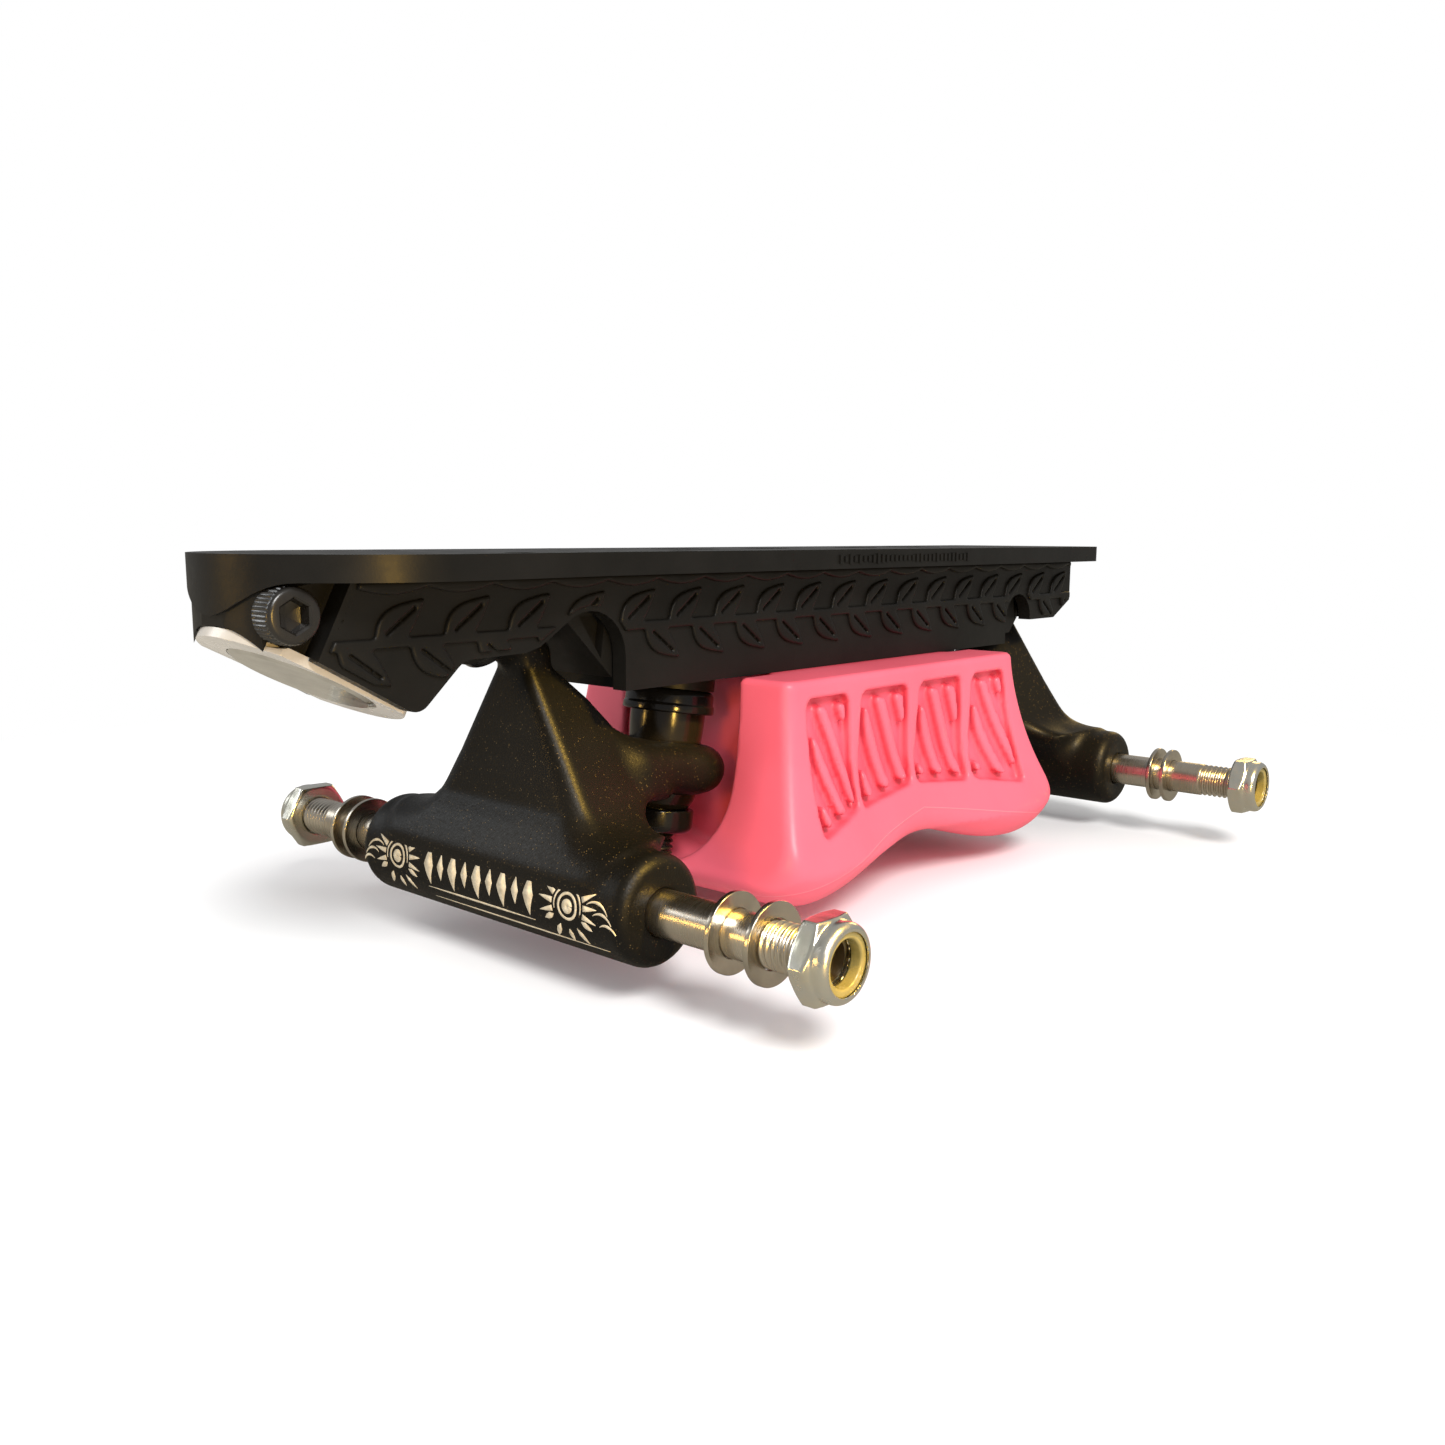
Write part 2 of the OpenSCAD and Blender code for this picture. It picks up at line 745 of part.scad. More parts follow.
// Shallow steel cup, open downwards, with a turned rim.
module upper_cup_washer(side) {
    r = upper_cup_d / 2;
    h = upper_cup_h;
    bore = kingpin_d / 2 + run_fit;
    color("#101012")
        placed()
            at_truck(side)
                on_kingpin()
                    translate([0, 0, upper_cup_s - h])
                        rotate_extrude()
                            polygon([[bore, h], [r - 1, h], [r, h - 1], [r, 0.3], [r - 0.3, 0],
                                     [r - cup_t, 0], [r - cup_t, h - cup_t], [bore, h - cup_t]]);
}

// Bowl-shaped nut that holds the lower cushion up: it is threaded on the kingpin.
module cup_nut(side) {
    r = lower_cup_d / 2;
    h = lower_cup_h;
    floor_t = 2.6;
    bowl_r = 3;
    bore = kingpin_d / 2 + close_fit;
    color("#101012")
        placed()
            at_truck(side)
                on_kingpin()
                    translate([0, 0, lower_cup_s - h])
                        rotate_extrude() {
                            translate([bore, 0]) square([r - bowl_r - bore, floor_t]);
                            intersection() {
                                translate([r - bowl_r, bowl_r]) circle(bowl_r);
                                translate([r - bowl_r - eps, 0]) square([bowl_r + eps, bowl_r]);
                            }
                            translate([r - cup_t, bowl_r - eps]) square([cup_t, h - bowl_r + eps]);
                        }
}

module upper_cushion(side) {
    s0 = ring_t / 2 + soft_gap;
    s1 = upper_cup_s - cup_t - soft_gap;
    color("#1d1a17")
        placed()
            at_truck(side)
                on_kingpin()
                    difference() {
                        translate([0, 0, s0]) cylinder(d = upper_cushion_d, h = s1 - s0);
                        translate([0, 0, s0 - 1]) cylinder(d = kingpin_d + 2 * soft_gap, h = s1 - s0 + 2);
                    }
}

module lower_cushion(side) {
    s0 = lower_cup_s + soft_gap;
    s1 = -ring_t / 2 - soft_gap;
    foot_d = lower_cup_d - 2 * cup_t - 2 * soft_gap;
    color("#1d1a17")
        placed()
            at_truck(side)
                on_kingpin()
                    difference() {
                        translate([0, 0, s0]) cylinder(d1 = foot_d, d2 = lower_cushion_d, h = s1 - s0);
                        translate([0, 0, s0 - 1]) cylinder(d = kingpin_d + 2 * soft_gap, h = s1 - s0 + 2);
                    }
}

// Cup that the pivot turns in: a round-bottomed bore with a lip at its mouth.
module pivot_cup(side) {
    outer = pivot_d / 2 + cup_wall;
    bore = pivot_d / 2 + run_fit;
    floor_t = pivot_ball + pivot_d / 2 + cup_floor;
    color("#0d0d0e")
        placed()
            at_truck(side)
                on_steer_axis()
                    difference() {
                        union() {
                            translate([0, 0, pivot_mouth])
                                cylinder(r = outer, h = floor_t - run_fit - pivot_mouth);
                            translate([0, 0, pivot_mouth])
                                cylinder(r = outer + cup_lip_extra, h = cup_lip_t - run_fit);
                        }
                        translate([0, 0, pivot_mouth - 1]) cylinder(r = bore, h = pivot_ball - pivot_mouth + 1);
                        translate([0, 0, pivot_ball]) sphere(bore);
                    }
}

// Hanger, drawn for the front truck: three outlines crossed give the arm that rises from the
// barrel to the pivot and reaches back to the ring.

module arm_front() {
    low = barrel_d / 2 - 0.3;
    side_c = arm_top_half + arm_taper * arm_top_z;
    norm = sqrt(1 + pow(arm_taper, 2));
    // radius of the arc that runs from the arm's side into the barrel's top
    flare_r = (arm_flare_x + arm_taper * low - side_c) / (norm - arm_taper);
    centre = [arm_flare_x, low + flare_r];
    touch = centre - flare_r * [1, arm_taper] / norm;
    difference() {
        polygon([[-arm_flare_x, 0], [arm_flare_x, 0], [arm_flare_x, low], touch,
                 [arm_top_half, arm_top_z], [-arm_top_half, arm_top_z],
                 [-touch[0], touch[1]], [-arm_flare_x, low]]);
        for (side = [-1, 1])
            translate([side * centre[0], centre[1]]) circle(flare_r, $fn = 96);
    }
}

// Side view, with the axle centre at (0, 0) and the ring towards +y.
module arm_side() {
    web_r = 15;
    web_low = ring_z - ring_t / 2 + 1.5;
    web_c = [barrel_d / 2 + web_r - 1, web_low - web_r];
    difference() {
        polygon([[-1, arm_top_z], [3.4, arm_top_z], [15, 31.2], [23.6, 22.2],
                 [neck_end, ring_z + ring_t / 2 + 1.5], [neck_end, web_low], [web_c[0], web_low],
                 [web_c[0] - web_r, web_c[1]], [0, -4], [1.6 - barrel_d / 2, 5], [-3.5, 14]]);
        translate(web_c) circle(web_r, $fn = 96);
    }
}

module arm_plan() {
    neck_half = ring_d / 2 - 1;
    fillet_r = arm_flare_x - neck_half;
    difference() {
        polygon([[-arm_flare_x, -barrel_d / 2], [arm_flare_x, -barrel_d / 2],
                 [arm_flare_x, neck_end - fillet_r], [neck_half, neck_end],
                 [-neck_half, neck_end], [-arm_flare_x, neck_end - fillet_r]]);
        for (side = [-1, 1])
            translate([side * arm_flare_x, neck_end]) circle(fillet_r, $fn = 96);
    }
}

module barrel() {
    half = barrel_len / 2;
    r = barrel_d / 2;
    translate([-half, 0, 0])
        along_x()
            rotate_extrude($fn = 96) {
                square([r - barrel_edge_r, barrel_len]);
                translate([0, barrel_edge_r]) square([r, barrel_len - 2 * barrel_edge_r]);
                for (end = [barrel_edge_r, barrel_len - barrel_edge_r])
                    translate([r - barrel_edge_r, end]) circle(barrel_edge_r);
            }
}

// Ring with a fully round edge, and the neck of the same section that joins it to the web.
module ring() {
    round_r = ring_t / 2;
    rotate_extrude($fn = 96) {
        translate([0, -round_r]) square([ring_d / 2 - round_r, ring_t]);
        translate([ring_d / 2 - round_r, 0]) intersection() {
            circle(round_r);
            translate([0, -round_r]) square([round_r, ring_t]);
        }
    }
    half = ring_d / 2 - round_r;
    reach = ring_back - neck_end + 6;
    translate([-half, -reach, -round_r]) cube([2 * half, reach, ring_t]);
    for (side = [-1, 1])
        translate([side * half, 0, 0]) rotate([90, 0, 0]) cylinder(r = round_r, h = reach);
}

module hanger(side) {
    color("#1e1d1a")
        placed()
            at_truck(side)
                difference() {
                    union() {
                        translate([0, -axle_y, 0]) {
                            barrel();
                            intersection() {
                                cross_bar(-barrel_d / 2, neck_end + 1) arm_front();
                                side_plate(barrel_len) arm_side();
                                linear_extrude(arm_top_z) arm_plan();
                            }
                        }
                        on_kingpin() ring();
                        on_steer_axis() {
                            translate([0, 0, pivot_root]) cylinder(d = pivot_d, h = pivot_ball - pivot_root);
                            translate([0, 0, pivot_ball]) sphere(d = pivot_d);
                        }
                    }
                    translate([-barrel_len, -axle_y, 0])
                        along_x() cylinder(d = axle_d + 2 * close_fit, h = 2 * barrel_len);
                    on_kingpin()
                        translate([0, 0, -ring_t]) cylinder(d = ring_bore_d, h = 2 * ring_t);
                }
}

module axle(side) {
    color("#9a9c9c")
        placed()
            at_truck(side)
                translate([-axle_len / 2, -axle_y, 0])
                    along_x() rotate_extrude()
                        polygon([[0, 0], [axle_d / 2 - 0.6, 0], [axle_d / 2, 0.6],
                                 [axle_d / 2, axle_len - 0.6], [axle_d / 2 - 0.6, axle_len], [0, axle_len]]);
}

// Lock nut, its hexagon towards the barrel and its collar outwards.
module lock_nut() {
    difference() {
        union() {
            hex_nut(nut_af, nut_hex_len, axle_d);
            rotate_extrude()
                polygon([[0, 0], [collar_d / 2, 0], [collar_d / 2, nut_len - 1],
                         [collar_d / 2 - 1, nut_len], [0, nut_len]]);
        }
        translate([0, 0, -1]) cylinder(d = axle_d + 2 * close_fit, h = nut_len + 2);
        translate([0, 0, nut_len - 0.6 - insert_ring_t]) cylinder(d = insert_ring_d, h = insert_ring_t + 1);
    }
}

module axle_nuts(side) {
    color("#c9cbc4")
        placed()
            at_truck(side)
                for (end = [0, 1])
                    mirror([end, 0, 0])
                        translate([nut_x, -axle_y, 0]) along_x() lock_nut();
}

module nut_inserts(side) {
    insert_s = max(nut_len - 0.6 - insert_ring_t, nut_grip) + close_fit;
    color("#a8985a")
        placed()
            at_truck(side)
                for (end = [0, 1])
                    mirror([end, 0, 0])
                        translate([nut_x + insert_s, -axle_y, 0])
                            along_x()
                                difference() {
                                    cylinder(d = insert_ring_d - 2 * close_fit, h = nut_len - 0.6 - insert_s);
                                    translate([0, 0, -1]) cylinder(d = insert_ring_bore, h = nut_len);
                                }
}

module speed_washer(side, x) {
    color("#b4b6b4")
        placed()
            at_truck(side)
                translate([x - washer_t / 2, -axle_y, 0])
                    along_x()
                        difference() {
                            cylinder(d = washer_d, h = washer_t);
                            translate([0, 0, -1]) cylinder(d = axle_d + 2 * run_fit, h = washer_t + 2);
                        }
}

// ---- the assembly ----

baseplate();
toe_clamp_bolt();
toe_clamp_insert();
toe_plug_pad();
toe_plug_stem();
slide_block();
slide_block_bolts();
slide_block_washers();
slide_block_nuts();
for (side = ["front", "rear"]) {
    kingpin(side);
    upper_cup_washer(side);
    upper_cushion(side);
    lower_cushion(side);
    cup_nut(side);
    pivot_cup(side);
    hanger(side);
    axle(side);
    axle_nuts(side);
    nut_inserts(side);
    for (hand = ["left", "right"], i = [0, 1])
        speed_washer(side, (hand == "left" ? -1 : 1) * (axle_len / 2 - washer_in(side, hand)[i]));
}
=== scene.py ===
"""Looks of a quad roller-skate plate: moulded deck and keel, two trucks, slide block, toe plug."""

import json
import math

import bmesh
import bpy
import numpy as np
from mathutils import Matrix, Vector

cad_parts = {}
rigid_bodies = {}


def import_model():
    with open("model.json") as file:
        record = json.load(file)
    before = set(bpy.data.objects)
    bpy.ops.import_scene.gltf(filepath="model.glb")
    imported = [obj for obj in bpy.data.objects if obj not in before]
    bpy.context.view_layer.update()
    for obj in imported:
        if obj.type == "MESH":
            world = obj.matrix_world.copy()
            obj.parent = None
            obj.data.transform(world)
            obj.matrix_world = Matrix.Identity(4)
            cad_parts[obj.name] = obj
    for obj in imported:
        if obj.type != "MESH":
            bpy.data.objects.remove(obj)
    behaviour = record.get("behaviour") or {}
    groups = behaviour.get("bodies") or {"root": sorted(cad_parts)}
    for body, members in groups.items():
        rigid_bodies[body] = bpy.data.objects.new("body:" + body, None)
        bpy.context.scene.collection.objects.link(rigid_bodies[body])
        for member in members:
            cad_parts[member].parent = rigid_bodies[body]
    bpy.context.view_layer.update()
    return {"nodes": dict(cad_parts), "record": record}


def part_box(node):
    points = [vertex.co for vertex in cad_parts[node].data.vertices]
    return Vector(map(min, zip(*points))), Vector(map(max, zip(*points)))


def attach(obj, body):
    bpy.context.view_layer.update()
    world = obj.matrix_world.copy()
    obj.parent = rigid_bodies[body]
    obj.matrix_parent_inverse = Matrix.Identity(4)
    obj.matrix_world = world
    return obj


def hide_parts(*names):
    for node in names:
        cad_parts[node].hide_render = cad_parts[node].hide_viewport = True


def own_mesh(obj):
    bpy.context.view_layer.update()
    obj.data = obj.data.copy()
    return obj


MM = 0.001
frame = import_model()
nodes = frame["nodes"]

# how far a field is probed to each side for its slope, and the slope that counts as steep enough
PROBE = 0.03
LEAST_SLOPE = 0.2
# half the angle from which a profile's corner stays unrounded
NEARLY_STRAIGHT = math.radians(86)

# ---------------- places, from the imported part


def middle(node):
    low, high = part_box(node)
    return (low + high) / 2 / MM


def steering(side):
    """Centre of the steering ring, in millimetres."""
    for joint in frame["record"]["behaviour"]["joints"]:
        if joint["name"] == side + "_steer":
            return np.array(joint["pos_m"]) / MM
    raise ValueError("no steering joint on the " + side)


AXLE = {side: np.array(middle(side + "_axle")) for side in ("front", "rear")}
RING = {side: steering(side) for side in ("front", "rear")}
MID_Y = (AXLE["front"][1] + AXLE["rear"][1]) / 2
AXLE_Z = AXLE["front"][2]
RING_BACK = RING["front"][1] - AXLE["front"][1]
RING_RISE = RING["front"][2] - AXLE_Z
LEAN = math.radians(9)
STEER = math.radians(35.4)
SIDES = {"front": 1, "rear": -1}


def truck_place(points, side):
    """From a truck's own axes (origin mid axle, y towards its ring) to the part's frame."""
    p = np.array(points, float)
    return np.column_stack([p[:, 0], AXLE[side][1] + SIDES[side] * p[:, 1], AXLE_Z + p[:, 2]])


def plate_place(points):
    """From plate axes (origin mid wheelbase at axle height) to the part's frame."""
    p = np.array(points, float)
    return p + np.array([0, MID_Y, AXLE_Z])


def kingpin_place(points, side):
    """From kingpin axes (origin mid ring, z up the pin) to the part's frame."""
    p = np.array(points, float)
    y = RING_BACK + p[:, 1] * math.cos(LEAN) + p[:, 2] * math.sin(LEAN)
    z = RING_RISE - p[:, 1] * math.sin(LEAN) + p[:, 2] * math.cos(LEAN)
    return truck_place(np.column_stack([p[:, 0], y, z]), side)


# ---------------- meshes


def in_scene(name, data):
    made = bpy.data.objects.new(name, data)
    bpy.context.scene.collection.objects.link(made)
    return made


def plain_mesh(made):
    """What an object's modifiers make of it, as a mesh without them."""
    worked = made.evaluated_get(bpy.context.evaluated_depsgraph_get())
    return bpy.data.meshes.new_from_object(worked)


def piece(name, points, faces, material, body, smooth=True, replaces=()):
    """A closed mesh from millimetre points in the part's frame, riding on a body."""
    mesh = bpy.data.meshes.new(name)
    mesh.from_pydata((np.array(points) * MM).tolist(), [], [list(map(int, f)) for f in faces])
    shape = bmesh.new()
    shape.from_mesh(mesh)
    bmesh.ops.remove_doubles(shape, verts=shape.verts, dist=1e-7)
    bmesh.ops.recalc_face_normals(shape, faces=shape.faces)
    if shape.calc_volume(signed=True) < 0:
        bmesh.ops.reverse_faces(shape, faces=shape.faces)
    shape.to_mesh(mesh)
    shape.free()
    mesh.polygons.foreach_set("use_smooth", [smooth] * len(mesh.polygons))
    mesh.materials.append(material)
    made = in_scene(name, mesh)
    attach(made, body)
    if replaces:
        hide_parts(*replaces)
    return made


def crisp(made, angle):
    """Shades an object's shallow corners smooth and keeps its real edges sharp."""
    mesh = made.data
    shape = bmesh.new()
    shape.from_mesh(mesh)
    for edge in shape.edges:
        edge.smooth = len(edge.link_faces) == 2 and edge.calc_face_angle(0) < math.radians(angle)
    shape.to_mesh(mesh)
    shape.free()
    return made


def weighed(made):
    """Leans the normals at an object's corners to its larger faces, so that flat ones look flat."""
    maker = made.modifiers.new("normals", "WEIGHTED_NORMAL")
    maker.keep_sharp = True
    mesh = plain_mesh(made)
    made.modifiers.clear()
    old, made.data = made.data, mesh
    bpy.data.meshes.remove(old)
    mesh.name = made.name
    return made


def round_both(a, b, r):
    """What lies inside both shapes, with the edge between them rounded."""
    u = np.maximum(a + r, 0)
    v = np.maximum(b + r, 0)
    return np.minimum(np.maximum(a, b), -r) + np.hypot(u, v)


def round_join(a, b, r):
    """Both shapes together, with a fillet where they meet."""
    u = np.maximum(r - a, 0)
    v = np.maximum(r - b, 0)
    return np.maximum(np.minimum(a, b), r) - np.hypot(u, v)


def outline_distance(y, z, outline):
    """Signed distance to a closed outline in a plane, negative inside."""
    best = np.full(y.shape, 1e9)
    inside = np.zeros(y.shape, bool)
    for (y0, z0), (y1, z1) in zip(outline, outline[1:] + outline[:1]):
        dy, dz = y1 - y0, z1 - z0
        t = np.clip(((y - y0) * dy + (z - z0) * dz) / (dy * dy + dz * dz), 0, 1)
        best = np.minimum(best, (y - y0 - t * dy) ** 2 + (z - z0 - t * dz) ** 2)
        if dz:
            crosses = (z0 <= z) != (z1 <= z)
            inside ^= crosses & (y < y0 + (z - z0) * dy / dz)
    return np.where(inside, -1, 1) * np.sqrt(best)


def skin(field, low, high, step, settle=3):
    """Closed quad mesh on the surface where a field of signed distances is zero."""
    axes = [np.arange(a - 2 * step, b + 2.5 * step, step) for a, b in zip(low, high)]
    value = field(*np.meshgrid(*axes, indexing="ij"))
    inside = value < 0
    count = np.zeros([n - 1 for n in inside.shape], np.int8)
    corner = [(i, j, k) for i in (0, 1) for j in (0, 1) for k in (0, 1)]
    size = count.shape
    for i, j, k in corner:
        count += inside[i : i + size[0], j : j + size[1], k : k + size[2]]
    cell = np.argwhere((count > 0) & (count < 8))
    number = np.full(size, -1, np.int64)
    number[tuple(cell.T)] = np.arange(len(cell))
    total = np.zeros((len(cell), 3))
    hits = np.zeros(len(cell))
    for a in range(3):
        for first in corner:
            if first[a]:
                continue
            start = cell + np.array(first)
            stop = start.copy()
            stop[:, a] += 1
            va, vb = value[tuple(start.T)], value[tuple(stop.T)]
            cut = (va < 0) != (vb < 0)
            t = np.where(cut, va / np.where(cut, va - vb, 1), 0)
            spot = start.astype(float)
            spot[:, a] += t
            total += spot * cut[:, None]
            hits += cut
    points = total / hits[:, None] * step + np.array([x[0] for x in axes])
    for _ in range(settle):
        here = field(*points.T)
        slope = np.zeros_like(points)
        for a in range(3):
            ahead, behind = points.copy(), points.copy()
            ahead[:, a] += PROBE
            behind[:, a] -= PROBE
            slope[:, a] = (field(*ahead.T) - field(*behind.T)) / (2 * PROBE)
        steep = np.maximum((slope**2).sum(1), LEAST_SLOPE)
        move = slope * (here / steep)[:, None]
        reach = np.linalg.norm(move, axis=1, keepdims=True)
        points -= move * np.minimum(1, 0.45 * step / np.maximum(reach, 1e-9))
    faces = []
    for a in range(3):
        b, c = [d for d in range(3) if d != a]
        here = [slice(1, -1)] * 3
        here[a] = slice(0, -1)
        there = list(here)
        there[a] = slice(1, None)
        flip = inside[tuple(here)] != inside[tuple(there)]
        edge = np.argwhere(flip) + np.array([0 if d == a else 1 for d in range(3)])
        into = inside[tuple(edge.T)]
        loop = []
        for db, dc in ((1, 1), (0, 1), (0, 0), (1, 0)):
            near = edge.copy()
            near[:, b] -= db
            near[:, c] -= dc
            loop.append(number[tuple(near.T)])
        quad = np.column_stack(loop)
        turn = into if a != 1 else ~into
        quad[~turn] = quad[~turn][:, ::-1]
        faces.append(quad)
    return points, np.vstack(faces)


def soften(profile, radius, steps=4):
    """Rounds the corners of a closed profile of (distance, station, own radius if it has one)."""
    made = []
    n = len(profile)
    for i, corner in enumerate(profile):
        here = np.array(corner[:2], float)
        r = corner[2] if len(corner) > 2 else radius
        before = np.array(profile[i - 1][:2], float) - here
        after = np.array(profile[(i + 1) % n][:2], float) - here
        la, lb = np.linalg.norm(before), np.linalg.norm(after)
        before, after = before / la, after / lb
        half = math.acos(float(np.clip(before @ after, -1, 1))) / 2
        if half > NEARLY_STRAIGHT:
            made.append(tuple(here))
            continue
        reach = min(r / math.tan(half), la * 0.48, lb * 0.48)
        r = reach * math.tan(half)
        centre = here + (before + after) / np.linalg.norm(before + after) * r / math.sin(half)
        a, b = here + before * reach - centre, here + after * reach - centre
        for k in range(steps + 1):
            t = k / steps
            way = a * (1 - t) + b * t
            made.append(tuple(centre + way / np.linalg.norm(way) * r))
    return made


def lathe(profile, turns=96):
    """Points and faces of a closed profile of (distance, station) turned about Z."""
    angle = np.linspace(0, 2 * math.pi, turns, endpoint=False)
    points = [(r * math.cos(a), r * math.sin(a), s) for a in angle for r, s in profile]
    n = len(profile)
    faces = []
    for i in range(turns):
        a, b = i * n, (i + 1) % turns * n
        faces += [[a + j, b + j, b + (j + 1) % n, a + (j + 1) % n] for j in range(n)]
    return np.array(points), faces


def stacked(rows, turns):
    """Points and faces of rings round Z, from rows of (distance at each turn, station)."""
    a = np.linspace(0, 2 * math.pi, turns, endpoint=False)
    points = [np.column_stack([r * np.cos(a), r * np.sin(a), np.full(turns, float(s))])
              for r, s in rows]
    faces = []
    for i in range(len(rows) - 1):
        for j in range(turns):
            k = (j + 1) % turns
            faces.append([i * turns + j, i * turns + k, (i + 1) * turns + k, (i + 1) * turns + j])
    return np.vstack(points), faces


def hexagonal(flats, turns):
    """Distance from the centre to a hexagon's sides, at each turn."""
    a = np.linspace(0, 2 * math.pi, turns, endpoint=False)
    return flats / 2 / np.cos((a + math.pi / 6) % (math.pi / 3) - math.pi / 6)


def along_x(points):
    """Turns an upright shape so that its stations run along X."""
    p = np.array(points, float)
    return np.column_stack([p[:, 2], p[:, 0], p[:, 1]])


# ---------------- finishes

# height of the block's parting line at mid length, and how it falls towards each end
PARTING_MID = 2.8
PARTING_FALL = 0.175


class Nodes:
    """A node tree in the making."""

    def __init__(self, holder):
        holder.use_nodes = True
        self.tree = holder.node_tree

    def join(self, out, into):
        self.tree.links.new(out, into)

    def node(self, kind, out, given=None, **settings):
        """A new node's output. What is given to its inputs is a value or another node's output."""
        made = self.tree.nodes.new(kind)
        for key, value in settings.items():
            setattr(made, key, value)
        for key, x in (given or {}).items():
            if isinstance(x, bpy.types.NodeSocket):
                self.join(x, made.inputs[key])
            else:
                made.inputs[key].default_value = x
        return made.outputs[out]


class Finish(Nodes):
    """A node material in the making, with the shader and Object coordinates at hand."""

    def __init__(self, name):
        self.material = bpy.data.materials.new(name)
        super().__init__(self.material)
        self.shader = self.tree.nodes["Principled BSDF"]
        self.place = self.node("ShaderNodeTexCoord", "Object")

    def give(self, **values):
        for key, value in values.items():
            self.shader.inputs[key.replace("_", " ")].default_value = value
        return self

    def axis(self, number):
        return self.node("ShaderNodeSeparateXYZ", number, {0: self.place})

    def stretched(self, scale):
        return self.node("ShaderNodeMapping", "Vector", {"Scale": scale, "Vector": self.place})

    def noise(self, scale, detail, rough, at=None):
        return self.node("ShaderNodeTexNoise", "Fac", {
            "Scale": scale, "Detail": detail, "Roughness": rough, "Vector": at or self.place})

    def cells(self, scale):
        return self.node("ShaderNodeTexVoronoi", "Distance", {"Scale": scale, "Vector": self.place})

    def spread(self, value, low, high, out_low=0.0, out_high=1.0):
        return self.node("ShaderNodeMapRange", "Result", {
            "Value": value, "From Min": low, "From Max": high,
            "To Min": out_low, "To Max": out_high})

    def sums(self, a, b, how="ADD"):
        return self.node("ShaderNodeMath", 0, {0: a, 1: b}, operation=how)

    def size_of(self, value):
        return self.sums(value, 0, "ABSOLUTE")

    def tint(self, fac, *stops):
        colour = self.node("ShaderNodeValToRGB", "Color", {"Fac": fac})
        ramp = colour.node.color_ramp
        while len(ramp.elements) < len(stops):
            ramp.elements.new(0.5)
        for element, (at, tone) in zip(ramp.elements, stops):
            element.position = at
            element.color = (*tone, 1)
        return colour

    def blend(self, fac, a, b):
        return self.node("ShaderNodeMix", 2, {0: fac, 6: a, 7: b}, data_type="RGBA")

    def colour(self, out):
        self.join(out, self.shader.inputs["Base Color"])

    def dullness(self, out):
        self.join(out, self.shader.inputs["Roughness"])

    def bumps(self, height, strength, depth):
        given = {"Strength": strength, "Distance": depth, "Height": height}
        last = self.shader.inputs["Normal"]
        if last.is_linked:
            given["Normal"] = last.links[0].from_socket
        self.join(self.node("ShaderNodeBump", "Normal", given), last)


def clouded(name, hue, tones, gloss, grain, **shader):
    """A finish whose colour, gloss and surface are each slightly uneven.

    hue is a noise, gloss a noise with its lowest and highest roughness, and grain a noise with
    the strength and depth of its bumps; a noise is its scale, detail and roughness.
    """
    f = Finish(name).give(**shader)
    f.colour(f.tint(f.noise(*hue), *tones))
    f.dullness(f.spread(f.noise(*gloss[:3]), 0.3, 0.7, *gloss[3:]))
    f.bumps(f.noise(*grain[:3]), *grain[3:])
    return f.material


def powder_coat():
    f = Finish("black powder coat").give(IOR=1.5, Specular_IOR_Level=0.15)
    grain = f.noise(2300, 2, 0.6)
    # painted glints: rare gold specks blended into the black coat stand for warm light glinting off
    # its grain
    glint_specks = f.spread(f.cells(2100), 0.10, 0.22, 1, 0)
    rare = f.spread(f.noise(900, 1, 0.5), 0.52, 0.60)
    painted_glint = f.sums(glint_specks, rare, "MULTIPLY")
    base = f.tint(f.noise(40, 3, 0.5),
                  (0.3, (0.0026, 0.0026, 0.0024)), (0.7, (0.0048, 0.0047, 0.0043)))
    f.colour(f.blend(painted_glint, base, (0.13, 0.092, 0.04, 1)))
    f.dullness(f.spread(grain, 0.3, 0.7, 0.36, 0.50))
    f.bumps(grain, 0.30, 0.00016)
    return f.material


def pink_plastic():
    f = Finish("salmon pink plastic").give(IOR=1.47, Specular_IOR_Level=0.4)
    cloud = f.noise(28, 4, 0.55)
    plain = f.tint(cloud, (0.25, (0.86, 0.124, 0.176)), (0.75, (0.93, 0.152, 0.212)))
    # painted shade: the pink turns dark red in creases and recesses, where ambient occlusion finds
    # them
    painted_crease_shade = f.node("ShaderNodeAmbientOcclusion", "AO", {"Distance": 3.2 * MM}, samples=8)
    plain = f.blend(f.spread(painted_crease_shade, 0.45, 0.95, 0.75, 0), plain, (0.55, 0.018, 0.035, 1))
    fall = f.sums(f.size_of(f.sums(f.axis(1), -MID_Y * MM)), PARTING_FALL, "MULTIPLY")
    rise = f.sums(f.sums(f.axis(2), fall), -(AXLE_Z + PARTING_MID) * MM)
    line = f.spread(f.size_of(rise), 0.05 * MM, 0.2 * MM, 1, 0)
    line = f.sums(line, f.spread(f.size_of(f.axis(0)), 20 * MM, 22 * MM), "MULTIPLY")
    f.colour(f.blend(f.sums(line, 0.35, "MULTIPLY"), plain, (1.0, 0.34, 0.36, 1)))
    f.dullness(f.spread(f.noise(90, 4, 0.6), 0.3, 0.7, 0.34, 0.46))
    f.bumps(f.noise(420, 3, 0.55), 0.08, 0.0003)
    f.bumps(line, 0.5, 0.0002)
    return f.material


def ground_steel(name, tone, low, high, run):
    """Bright metal with fine lines, drawn out by different scales along X, Y and Z."""
    f = Finish(name).give(Metallic=1.0)
    lines = f.noise(1.0, 2, 0.5, at=f.stretched(run))
    stain = f.noise(140, 3, 0.6)
    dark = tuple(0.72 * t for t in tone)
    f.colour(f.tint(stain, (0.30, dark), (0.62, tone)))
    f.dullness(f.spread(lines, 0.3, 0.7, low, high))
    f.bumps(lines, 0.012, 0.00002)
    return f.material


